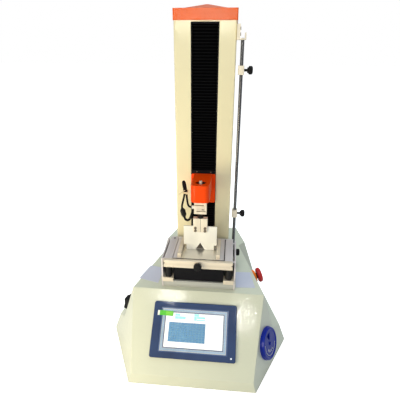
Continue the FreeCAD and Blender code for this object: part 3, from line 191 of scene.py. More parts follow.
class ShaderParts:
    """Shader node groups that several finishes share."""

    place = ("Vector", VECTOR, (0, 0, 0))
    fine_ratio = 4.0
    fine_share = 0.22
    smear_ratio = 3.7

    def __init__(self) -> None:
        """Builds each group once."""
        self.peel = self._peel()
        self.grain = self._grain()
        self.blotch = self._blotch()
        self.edge_rub_and_highlight = self._edge_rub_and_highlight_group()

    @staticmethod
    def _new(name: str, inputs: Iterable[tuple[str, str, object]], outputs: Iterable[tuple[str, str]]
             ) -> tuple[NodeTree, bpy.types.Node, bpy.types.Node]:
        """Starts a group with its sockets.

        Args:
            name: Name of the group.
            inputs: Name, type and first value of each input.
            outputs: Name and type of each output.

        Returns:
            The group's helper, its input node and its output node.
        """
        group = bpy.data.node_groups.new(name, "ShaderNodeTree")
        for label, kind, value in inputs:
            socket = group.interface.new_socket(name=label, in_out="INPUT", socket_type=kind)
            socket.default_value = value
        for label, kind in outputs:
            group.interface.new_socket(name=label, in_out="OUTPUT", socket_type=kind)
        helper = NodeTree(group)
        return helper, helper.add("NodeGroupInput"), helper.add("NodeGroupOutput")

    def _peel(self) -> bpy.types.NodeTree:
        """Orange peel of sprayed and baked paint: soft swells with fine grain on them.

        Returns:
            The group.
        """
        tree, start, end = self._new("orange_peel", [self.place, ("Scale", FLOAT, 260.0)], [("Height", FLOAT)])
        swell = tree.add("ShaderNodeTexNoise", Detail=1.5, Roughness=0.45)
        fine = tree.add("ShaderNodeTexNoise", Detail=2.0, Roughness=0.5)
        finer = tree.maths("MULTIPLY", self.fine_ratio)
        mix = tree.maths("MULTIPLY_ADD", self.fine_share)
        tree.link((start, "Vector", swell, "Vector"), (start, "Vector", fine, "Vector"),
                  (start, "Scale", swell, "Scale"), (start, "Scale", finer, 0), (finer, 0, fine, "Scale"),
                  (fine, "Fac", mix, 0), (swell, "Fac", mix, 2), (mix, 0, end, "Height"))
        return tree.tree

    def _grain(self) -> bpy.types.NodeTree:
        """Machining lines: noise stretched along one direction, in two widths.

        Returns:
            The group.
        """
        tree, start, end = self._new("machined_grain", [self.place, ("Stretch", VECTOR, (20, 900, 900))],
                                     [("Height", FLOAT), ("Shade", FLOAT)])
        scale = tree.add("ShaderNodeVectorMath", operation="MULTIPLY")
        lines = tree.add("ShaderNodeTexNoise", Scale=1.0, Detail=4.0, Roughness=0.7)
        wide = tree.add("ShaderNodeTexNoise", Scale=0.12, Detail=2.0, Roughness=0.5)
        tree.link((start, "Vector", scale, 0), (start, "Stretch", scale, 1), (scale, 0, lines, "Vector"),
                  (scale, 0, wide, "Vector"), (lines, "Fac", end, "Height"), (wide, "Fac", end, "Shade"))
        return tree.tree

    def _blotch(self) -> bpy.types.NodeTree:
        """Handling marks and slight tone changes, with a few scuffs.

        Returns:
            The group.
        """
        tree, start, end = self._new("handling_marks", [self.place, ("Scale", FLOAT, 9.0)],
                                     [("Tone", FLOAT), ("Smudge", FLOAT)])
        tone = tree.add("ShaderNodeTexNoise", Detail=3.0, Roughness=0.55, Distortion=0.4)
        smear = tree.add("ShaderNodeTexNoise", Detail=6.0, Roughness=0.65, Distortion=1.2)
        closer = tree.maths("MULTIPLY", self.smear_ratio)
        spread = tree.add("ShaderNodeMapRange", From_Min=0.38, From_Max=0.68)
        tree.link((start, "Vector", tone, "Vector"), (start, "Vector", smear, "Vector"),
                  (start, "Scale", tone, "Scale"), (start, "Scale", closer, 0), (closer, 0, smear, "Scale"),
                  (smear, "Fac", spread, "Value"), (tone, "Fac", end, "Tone"),
                  (spread, "Result", end, "Smudge"))
        return tree.tree

    def _edge_rub_and_highlight_group(self) -> bpy.types.NodeTree:
        """Edge mask from the rounded normal, broken up by noise, for edges painted lighter: partly rubbed
        paint, partly a painted highlight.

        Returns:
            The group.
        """
        tree, start, end = self._new(
            "edge_rub_and_highlight_mask", [self.place, ("Radius", FLOAT, 0.0012), ("Breakup", FLOAT, 120.0)],
            [("Edge", FLOAT), ("Normal", VECTOR)])
        bevel = tree.add("ShaderNodeBevel", samples=6)
        flat = tree.add("ShaderNodeNewGeometry")
        dot = tree.add("ShaderNodeVectorMath", operation="DOT_PRODUCT")
        turn = tree.add("ShaderNodeMapRange", From_Min=0.985, From_Max=0.8, To_Min=0.0, To_Max=1.0)
        noise = tree.add("ShaderNodeTexNoise", Detail=3.0, Roughness=0.6)
        gate = tree.add("ShaderNodeMapRange", From_Min=0.42, From_Max=0.62)
        both = tree.maths("MULTIPLY")
        tree.link((start, "Radius", bevel, "Radius"), (bevel, "Normal", dot, 0), (flat, "Normal", dot, 1),
                  (dot, "Value", turn, "Value"), (start, "Vector", noise, "Vector"),
                  (start, "Breakup", noise, "Scale"), (noise, "Fac", gate, "Value"), (turn, "Result", both, 0),
                  (gate, "Result", both, 1), (both, 0, end, "Edge"), (bevel, "Normal", end, "Normal"))
        return tree.tree


@dataclass(frozen=True)
class Finish:
    """One surface finish of the machine."""

    name: str
    colour: Colour
    style: Style = Style.MOULDED
    metallic: float = 0.0
    roughness: float = 0.45
    coat: float = 0.0
    tone: float = 0.05
    smudge: float = 0.08
    grain: float = 0.15
    scale: float = 400.0
    stretch: Point = (30.0, 900.0, 900.0)
    # Colour and share of the lighter edges: partly rubbed paint, partly painted highlight.
    edge_colour: Colour | None = None
    edge: float = 0.35
    radius: float = 0.0008
    emission: float = 0.0
    specular: float = 0.5

    def material(self, parts: ShaderParts) -> bpy.types.Material:
        """Builds the finish as a node material.

        Args:
            parts: The shared shader groups.

        Returns:
            The material.
        """
        material = bpy.data.materials.new(self.name)
        material.diffuse_color = (*self.colour, 1)
        tree = NodeTree.cleared(material)
        out = tree.add("ShaderNodeOutputMaterial")
        shader = tree.add("ShaderNodeBsdfPrincipled", Metallic=self.metallic, Coat_Weight=self.coat,
                          Coat_Roughness=COAT_ROUGHNESS, Specular_IOR_Level=self.specular)
        tree.link((shader, "BSDF", out, "Surface"))
        self._dress(tree, shader, parts)
        return material

    def _dress(self, tree: NodeTree, shader: bpy.types.Node, parts: ShaderParts) -> None:
        """Feeds colour, roughness and normal of the shader.

        Args:
            tree: The material's tree.
            shader: Its surface shader.
            parts: The shared shader groups.
        """
        where = tree.add("ShaderNodeTexCoord")
        blotch = tree.add("ShaderNodeGroup", node_tree=parts.blotch)
        tone = tree.add("ShaderNodeMix", data_type="RGBA")
        tone.inputs[COLOUR_A].default_value = (*(c * (1 - 2 * self.tone) for c in self.colour), 1)
        tone.inputs[COLOUR_B].default_value = (*(min(1.0, c * (1 + self.tone)) for c in self.colour), 1)
        # Mask of the edges that are painted lighter: partly rubbed paint, partly painted highlight.
        edge_rub_and_highlight = tree.add("ShaderNodeGroup", node_tree=parts.edge_rub_and_highlight, Radius=self.radius)
        strength = tree.maths("MULTIPLY", self.edge)
        rubbed_and_highlit = tree.add("ShaderNodeMix", data_type="RGBA")
        edge_colour = self.edge_colour or tuple(min(1.0, c * RUB_AND_HIGHLIGHT_GAIN + RUB_AND_HIGHLIGHT_LIFT) for c in self.colour)
        rubbed_and_highlit.inputs[COLOUR_B].default_value = (*edge_colour, 1)
        rough = tree.add("ShaderNodeMapRange", From_Min=0.0, From_Max=1.0,
                         To_Min=self.roughness, To_Max=min(1.0, self.roughness + self.smudge))
        bump = tree.add("ShaderNodeBump", Strength=self.grain, Distance=BUMP_HEIGHT)
        tree.link((where, "Object", blotch, "Vector"), (where, "Object", edge_rub_and_highlight, "Vector"),
                  (blotch, "Tone", tone, 0), (edge_rub_and_highlight, "Edge", strength, 0), (strength, 0, rubbed_and_highlit, 0),
                  (tone, MIXED, rubbed_and_highlit, COLOUR_A), (blotch, "Smudge", rough, "Value"),
                  (rough, "Result", shader, "Roughness"), (edge_rub_and_highlight, "Normal", bump, "Normal"),
                  (bump, "Normal", shader, "Normal"), (bump, "Normal", shader, "Coat Normal"))
        final = (rubbed_and_highlit, MIXED)
        if self.style in (Style.BRUSHED, Style.GROUND):
            lines = tree.add("ShaderNodeGroup", node_tree=parts.grain, Stretch=self.stretch)
            shade = tree.add("ShaderNodeMapRange", From_Min=0.3, From_Max=0.7, To_Min=0.82, To_Max=1.0)
            lined = tree.add("ShaderNodeVectorMath", operation="SCALE")
            tree.link((where, "Object", lines, "Vector"), (lines, "Height", bump, "Height"),
                      (lines, "Shade", shade, "Value"), (rubbed_and_highlit, MIXED, lined, 0),
                      (shade, "Result", lined, "Scale"))
            final = (lined, 0)
        else:
            peel = tree.add("ShaderNodeGroup", node_tree=parts.peel, Scale=self.scale)
            tree.link((where, "Object", peel, "Vector"), (peel, "Height", bump, "Height"))
        tree.link((*final, shader, "Base Color"))
        if self.emission:
            tree.link((*final, shader, "Emission Color"))
            shader.inputs["Emission Strength"].default_value = self.emission


FINISHES: tuple[tuple[Finish, str], ...] = (
    (Finish("ivory_coat", linear(234, 225, 188), Style.POWDER, roughness=0.34, coat=0.4, tone=0.02, grain=0.2,
            scale=330, edge=0.25, radius=0.0016, edge_colour=linear(246, 242, 226)),
     "column_shell column_back_cover"),
    (Finish("console_powder_coat", linear(205, 208, 190), Style.POWDER, roughness=0.34, coat=1.0, tone=0.025,
            grain=0.9, scale=110, edge=0.3, radius=0.002, specular=0.2, edge_colour=linear(238, 240, 230)),
     "base_shell"),
    (Finish("orange_coat", linear(238, 70, 0), Style.POWDER, roughness=0.36, coat=0.05, tone=0.04, grain=0.15,
            scale=450, edge=0.35, edge_colour=linear(250, 110, 40), specular=0.12),
     "crosshead_flange crosshead_cover"),
    # The cap's pale orange edge colour is a painted glare from its glossy coat.
    (Finish("cap_paint", linear(242, 94, 4), Style.POWDER, roughness=0.3, coat=0.28, tone=0.12, grain=1.0,
            scale=200, edge=0.4, edge_colour=linear(255, 170, 100), specular=0.15),
     "column_cap"),
    (Finish("lavender_anodised", linear(224, 218, 221), Style.BRUSHED, metallic=0.3, roughness=0.42, grain=0.06,
            stretch=(700, 18, 700)),
     "table_frame shear_insert side_plates"),
    (Finish("milled_aluminium", linear(234, 222, 204), Style.BRUSHED, metallic=0.3, roughness=0.36, grain=0.06,
            stretch=(14, 700, 700)),
     "table_bar plate_tabs guide_rails"),
    (Finish("natural_aluminium", linear(244, 234, 216), Style.BRUSHED, metallic=0.3, roughness=0.4, grain=0.06,
            stretch=(600, 600, 20)),
     "blade_holder load_cell crosshead_arm crosshead_carriage bearing_plates rod_bracket load_bolt upper_stop "
     "lower_stop base_floor"),
    (Finish("ground_blade", linear(255, 252, 244), Style.GROUND, metallic=0.2, roughness=0.3, grain=0.02,
            stretch=(160, 160, 5), edge=0.5, tone=0.03),
     "shear_blade"),
    (Finish("ground_plate", linear(214, 210, 204), Style.GROUND, metallic=0.8, roughness=0.28, grain=0.02,
            stretch=(5, 160, 160), tone=0.03),
     "slot_plates"),
    (Finish("lower_steel", linear(186, 188, 186), Style.BRUSHED, metallic=0.3, roughness=0.42, grain=0.06,
            stretch=(18, 700, 700)),
     "lower_plate"),
    (Finish("blackened_steel", linear(30, 29, 31), metallic=0.6, roughness=0.4),
     "load_stud stop_stem table_posts foot_stop"),
    (Finish("screw_steel", linear(120, 108, 96), metallic=0.7, roughness=0.36), "holder_screws housing_screws"),
    (Finish("ground_rod", linear(112, 112, 116), Style.GROUND, metallic=0.9, roughness=0.24, grain=0.03,
            stretch=(300, 300, 4)),
     "limit_rod guide_rods lead_screw"),
    (Finish("black_sheet", linear(14, 14, 20), Style.POWDER, roughness=0.5, grain=0.2, specular=0.12),
     "bellows_frame bellows_end_bar catch_tray drive_motor"),
    (Finish("black_moulding", linear(14, 14, 17), roughness=0.4, grain=0.1, scale=900, specular=0.2),
     "bar_knob upper_stop_knob lower_stop_knob foot_stop_knob lead_plug switch_frame switch_rocker "
     "mains_inlet"),
    (Finish("lead_rubber", linear(14, 14, 17), roughness=0.55, grain=0.08, scale=1500, specular=0.15),
     "cell_lead plug_lead"),
    (Finish("bellows_fabric", linear(9, 9, 12), Style.CLOTH, roughness=0.6, grain=0.25, scale=1400, tone=0.15,
            edge=0.0, specular=0.05),
     "bellows_upper bellows_lower"),
    (Finish("slate_bezel", linear(46, 68, 114), Style.BRUSHED, roughness=0.34, coat=0.3, grain=0.04,
            stretch=(12, 260, 260), tone=0.3, specular=0.2),
     "panel_bezel"),
    (Finish("panel_glass", linear(84, 108, 154), Style.SMOOTH, roughness=0.12, coat=0.6, grain=0.02, tone=0.3),
     "panel_screen"),
    (Finish("red_button", linear(196, 18, 22), roughness=0.32, grain=0.06), "stop_mushroom"),
    (Finish("yellow_collar", linear(250, 128, 10), roughness=0.36, grain=0.06), "stop_collar"),
    (Finish("blue_dial", linear(2, 32, 146), roughness=0.3, coat=0.15, grain=0.05, specular=0.2),
     "dial_plate status_dial"),
    (Finish("white_moulding", linear(232, 232, 226), roughness=0.4, grain=0.05), "cell_boot"),
    (Finish("beige_tie", linear(214, 198, 160), roughness=0.45, grain=0.05), "cable_tie"),
    (Finish("bronze_nut", linear(190, 150, 90), Style.BRUSHED, metallic=0.9, roughness=0.35), "drive_nut"),
    (Finish("foot_rubber", linear(28, 28, 28), roughness=0.8, grain=0.3), "feet"),
    (Finish("bare_plate", linear(196, 198, 214), Style.SMOOTH, roughness=0.35, tone=0.03, grain=0.05,
            edge=0.2),
     ""),
)


class Paintbox:
    """All finishes of the machine, by their own names and by the solids that carry them."""

    def __init__(self, parts: ShaderParts) -> None:
        """Mixes the finishes of the table.

        Args:
            parts: The shared shader groups.
        """
        self.parts = parts
        self.by_name: dict[str, bpy.types.Material] = {}
        self.by_node: dict[str, bpy.types.Material] = {}
        for finish, nodes in FINISHES:
            self.by_name[finish.name] = finish.material(parts)
            self.by_node.update(dict.fromkeys(nodes.split(), self.by_name[finish.name]))

    def __getitem__(self, name: str) -> bpy.types.Material:
        """Finish by its own name."""
        return self.by_name[name]

    def light(self, name: str, colour: Colour, strength: float = 0.0) -> bpy.types.Material:
        """Makes a plain finish that gives off some light, as a lit display does."""
        return Finish(name, colour, Style.SMOOTH, roughness=0.25, tone=0.01, grain=0.0, edge=0.0,
                      emission=strength, coat=0.3).material(self.parts)

    def film(self, name: str, colour: Colour) -> bpy.types.Material:
        """Makes a glossy stretch of painted sheen on the protective film, its tone changing along it as the
        reflections do.
        """
        return Finish(name, colour, Style.SMOOTH, roughness=0.12, coat=0.8, tone=0.3, grain=0.15, scale=60.0,
                      edge=0.0).material(self.parts)

    def paint(self, nodes: dict[str, bpy.types.Object]) -> None:
        """Gives every solid its finish.

        Args:
            nodes: The solids by name.
        """
        for name, item in nodes.items():
            item.data.materials.clear()
            item.data.materials.append(self.by_node[name])
            LOG.info("painted %s with %s", name, self.by_node[name].name)


@dataclass(frozen=True)
class Slope:
    """A flat place on the machine: a point on it and its directions."""

    origin: Vector
    across: Vector
    out: Vector

    def matrix(self) -> Matrix:
        """Works out how the place lies in the machine.

        Returns:
            The matrix from its own X, Y and outward Z to the machine's frame.
        """
        out = self.out.normalized()
        across = (self.across - out * out.dot(self.across)).normalized()
        up = out.cross(across)
        turn = Matrix((across, up, out)).transposed().to_4x4()
        return Matrix.Translation(self.origin) @ turn


class Shop:
    """Makes finished mesh objects at the origin."""

    @staticmethod
    def mesh_object(name: str, mesh: bpy.types.Mesh,
                    materials: Sequence[bpy.types.Material]) -> bpy.types.Object:
        """Puts a mesh in the scene.

        Args:
            name: Name of the piece.
            mesh: Its mesh, already in place.
            materials: Its materials in order; those that the mesh already holds are kept.

        Returns:
            The new object.
        """
        mesh.name = name
        for material in materials[len(mesh.materials):]:
            mesh.materials.append(material)
        item = bpy.data.objects.new(name, mesh)
        bpy.context.scene.collection.objects.link(item)
        LOG.info("made %s", name)
        return item

    @staticmethod
    def slab(build: bmesh.types.BMesh, outline: Sequence[tuple[float, float]], low: float, high: float,
             place: Matrix, index: int = 0) -> None:
        """Adds a flat slab with an outline, low and high faces.

        Args:
            build: The mesh under construction.
            outline: Corners in the place's own plane, counter-clockwise.
            low: Height of the under face.
            high: Height of the top face.
            place: Where the plane lies.
            index: Material of the slab.
        """
        top = [build.verts.new(place @ Vector((x, y, high))) for x, y in outline]
        under = [build.verts.new(place @ Vector((x, y, low))) for x, y in outline]
        faces = [build.faces.new(top), build.faces.new(list(reversed(under)))]
        count = len(outline)
        for k in range(count):
            after = (k + 1) % count
            faces.append(build.faces.new((under[k], under[after], top[after], top[k])))
        for face in faces:
            face.material_index = index

    @staticmethod
    def bar(build: bmesh.types.BMesh, low: Point, high: Point, index: int = 0) -> None:
        """Adds a straight block between two corners in millimetres."""
        (x0, y0, z0), (x1, y1, z1) = scaled((low, high))
        Shop.slab(build, [(x0, y0), (x1, y0), (x1, y1), (x0, y1)], z0, z1, Matrix.Identity(4), index)

    @staticmethod
    def finish(name: str, build: bmesh.types.BMesh, materials: Sequence[bpy.types.Material],
               body: str) -> bpy.types.Object:
        """Turns the construction into a piece that rides on a body.

        Args:
            name: Name of the piece.
            build: The mesh under construction, freed afterwards.
            materials: Its materials in order.
            body: The body that carries it.

        Returns:
            The piece.
        """
        bmesh.ops.recalc_face_normals(build, faces=build.faces)
        mesh = bpy.data.meshes.new(name)
        build.to_mesh(mesh)
        build.free()
        piece = Shop.mesh_object(name, mesh, materials)
        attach(piece, body)
        return piece


class GeometryTree:
    """A geometry node tree with named inputs, run once and turned into a plain mesh."""

    def __init__(self, name: str, inputs: Iterable[tuple[str, str]]) -> None:
        """Starts the tree.

        Args:
            name: Name of the tree.
            inputs: Name and socket type of each input besides the geometry and the material.
        """
        self.group = bpy.data.node_groups.new(name, "GeometryNodeTree")
        for label, kind in (("Geometry", "NodeSocketGeometry"), *inputs, ("Material", MATERIAL)):
            self.group.interface.new_socket(name=label, in_out="INPUT", socket_type=kind)
        self.group.interface.new_socket(name="Geometry", in_out="OUTPUT", socket_type="NodeSocketGeometry")
        self.tree = NodeTree(self.group)
        self.start = self.tree.add("NodeGroupInput")
        self.end = self.tree.add("NodeGroupOutput")

    def hand_out(self, source: bpy.types.Node, output: str) -> None:
        """Makes the geometry of a node real, gives it the tree's material and hands it out.

        Args:
            source: The node.
            output: Its geometry socket.
        """
        whole = self.tree.add("GeometryNodeRealizeInstances")
        dress = self.tree.add("GeometryNodeSetMaterial")
        self.tree.link((source, output, whole, "Geometry"), (whole, "Geometry", dress, "Geometry"),
                       (self.start, "Material", dress, "Material"), (dress, "Geometry", self.end, "Geometry"))

    def run(self, name: str, seed_mesh: bpy.types.Mesh, values: dict[str, object]) -> bpy.types.Mesh:
        """Evaluates the tree on a mesh.

        Args:
            name: Name of the result.
            seed_mesh: The mesh that the tree starts from.
            values: Values of the named inputs.

        Returns:
            The plain mesh.
        """
        holder = bpy.data.objects.new(name + "_maker", seed_mesh)
        bpy.context.scene.collection.objects.link(holder)
        modifier = holder.modifiers.new("maker", "NODES")
        modifier.node_group = self.group
        for item in self.group.interface.items_tree:
            if item.in_out == "INPUT" and item.name in values:
                modifier[item.identifier] = values[item.name]
        bpy.context.view_layer.update()
        result = bpy.data.meshes.new_from_object(holder.evaluated_get(bpy.context.evaluated_depsgraph_get()))
        holder.modifiers.clear()
        bpy.data.objects.remove(holder)
        return result


class PleatMaker(GeometryTree):
    """Folded cover: a grid whose rows swing between a front and a rear fold."""

    columns = 5
    sharpness = 0.8

    def __init__(self) -> None:
        """Builds the tree."""
        super().__init__("pleats", [("Width", FLOAT), ("Height", FLOAT), ("Rows", "NodeSocketInt"),
                                    ("Pitch", FLOAT), ("Depth", FLOAT)])
        tree, start = self.tree, self.start
        grid = tree.add("GeometryNodeMeshGrid", Vertices_X=self.columns)
        where = tree.add("GeometryNodeInputPosition")
        split = tree.add("ShaderNodeSeparateXYZ")
        rise = tree.maths("MULTIPLY_ADD", 0.5)
        turns = tree.maths("DIVIDE")
        angle = tree.maths("MULTIPLY", math.pi)
        wave = tree.maths("SINE")
        size = tree.maths("ABSOLUTE")
        sharper = tree.maths("POWER", self.sharpness)
        depth = tree.maths("MULTIPLY")
        front = tree.maths("SUBTRACT")
        joined = tree.add("ShaderNodeCombineXYZ")
        move = tree.add("GeometryNodeSetPosition")
        tree.link((start, "Width", grid, "Size X"), (start, "Height", grid, "Size Y"),
                  (start, "Rows", grid, "Vertices Y"), (where, 0, split, 0), (start, "Height", rise, 0),
                  (split, "Y", rise, 2), (rise, 0, turns, 0), (start, "Pitch", turns, 1), (turns, 0, angle, 0),
                  (angle, 0, wave, 0), (wave, 0, size, 0), (size, 0, sharper, 0), (sharper, 0, depth, 0),
                  (start, "Depth", depth, 1), (start, "Depth", front, 0), (depth, 0, front, 1),
                  (split, "X", joined, "X"), (front, 0, joined, "Y"), (rise, 0, joined, "Z"),
                  (grid, "Mesh", move, "Geometry"), (joined, 0, move, "Position"))
        self.hand_out(move, "Geometry")


class ScrewMaker(GeometryTree):
    """Socket screws: a head with a six-sided recess on every point, turned to the point's facing."""

    sides = 20
    key_sides = 6
    recess = 0.55

    def __init__(self) -> None:
        """Builds the tree."""
        super().__init__("socket_screws", [("Radius", FLOAT), ("Height", FLOAT)])
        tree, start = self.tree, self.start
        head = tree.add("GeometryNodeMeshCylinder", Vertices=self.sides)
        narrow = tree.maths("MULTIPLY", self.recess)
        key = tree.add("GeometryNodeMeshCylinder", Vertices=self.key_sides)
        half = tree.maths("MULTIPLY", 0.5)
        lift = tree.add("ShaderNodeCombineXYZ")
        raised = tree.add("GeometryNodeTransform")
        hollow = tree.add("GeometryNodeMeshBoolean", operation="DIFFERENCE")
        seated = tree.add("GeometryNodeTransform")
        facing = tree.add("GeometryNodeInputNamedAttribute", data_type="FLOAT_VECTOR", Name="facing")
        turn = tree.add("FunctionNodeAlignRotationToVector", axis="Z")
        points = tree.add("GeometryNodeInstanceOnPoints")
        tree.link((start, "Radius", head, "Radius"), (start, "Height", head, "Depth"),
                  (start, "Radius", narrow, 0), (narrow, 0, key, "Radius"), (start, "Height", key, "Depth"),
                  (start, "Height", half, 0), (half, 0, lift, "Z"), (key, "Mesh", raised, "Geometry"),
                  (lift, 0, raised, "Translation"), (head, "Mesh", hollow, 0), (raised, "Geometry", hollow, 1),
                  (hollow, "Mesh", seated, "Geometry"), (lift, 0, seated, "Translation"),
                  (facing, 0, turn, "Vector"), (start, "Geometry", points, "Points"),
                  (seated, "Geometry", points, "Instance"), (turn, 0, points, "Rotation"))
        self.hand_out(points, "Instances")

    def place(self, name: str, spots: Sequence[Vector], out: Vector, radius: float, height: float,
              material: bpy.types.Material) -> bpy.types.Object:
        """Sets one screw on each spot.

        Args:
            name: Name of the piece.
            spots: Foot of each screw.
            out: Direction in which the heads stand.
            radius: Radius of a head.
            height: Height of a head.
            material: Finish of the screws.

        Returns:
            The finished piece.
        """
        seed = bpy.data.meshes.new(name + "_spots")
        seed.from_pydata([tuple(point) for point in spots], [], [])
        for entry in seed.attributes.new("facing", "FLOAT_VECTOR", "POINT").data:
            entry.vector = out
        mesh = self.run(name, seed, {"Radius": radius, "Height": height, "Material": material})
        return Shop.mesh_object(name, mesh, [material])


@dataclass
class Bellows:
    """The two pleated covers of the column's slot, and the hidden strip behind the upper one's lower end."""

    half: float = 29.2 * MM
    front: float = 1.6 * MM
    depth: float = 10.0 * MM
    pitch: float = 7.0 * MM
    rows_per_fold: int = 8
    upper_low: float = 422.1 * MM
    upper_high: float = 770.5 * MM
    lower_low: float = 209.5 * MM
    lower_high: float = 344.2 * MM
    travel: float = 300.0 * MM
    middle: float = 6.0 * MM
    tail: tuple[Point, Point] = ((-29, 12.0, 421.7), (29, 12.7, 447))

    def strip(self, name: str, low: float, high: float, maker: PleatMaker,
              cloth: bpy.types.Material) -> bpy.types.Object:
        """Folds one cover.

        Args:
            name: Name of the piece.
            low: Its lower end.
            high: Its upper end.
            maker: The pleat tree.
            cloth: Its finish.

        Returns:
            The cover.
        """
        count = round((high - low) / self.pitch)
        mesh = maker.run(name, bpy.data.meshes.new(name + "_seed"), {
            "Width": 2 * self.half, "Height": high - low, "Rows": count * self.rows_per_fold + 1,
            "Pitch": (high - low) / count, "Depth": self.depth, "Material": cloth})
        mesh.transform(Matrix.Translation((0, self.front, low)))
        for face in mesh.polygons:
            face.use_smooth = True
        return Shop.mesh_object(name, mesh, [cloth])

    def build(self, paints: Paintbox) -> None:
        """Makes both covers and hangs the tail behind the upper one.

        Args:
            paints: All finishes.
        """
        maker, cloth = PleatMaker(), paints["bellows_fabric"]
        upper = self.strip("pleats_upper", self.upper_low, self.upper_high, maker, cloth)
        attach(upper, "frame")
        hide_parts("bellows_upper")
        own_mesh(upper)
        lower = self.strip("pleats_lower", self.lower_low, self.lower_high, maker, cloth)
        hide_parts("bellows_lower")
        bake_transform(lower)
        build = bmesh.new()
        Shop.bar(build, *self.tail)
        Shop.finish("cover_tail", build, [cloth], "crosshead")


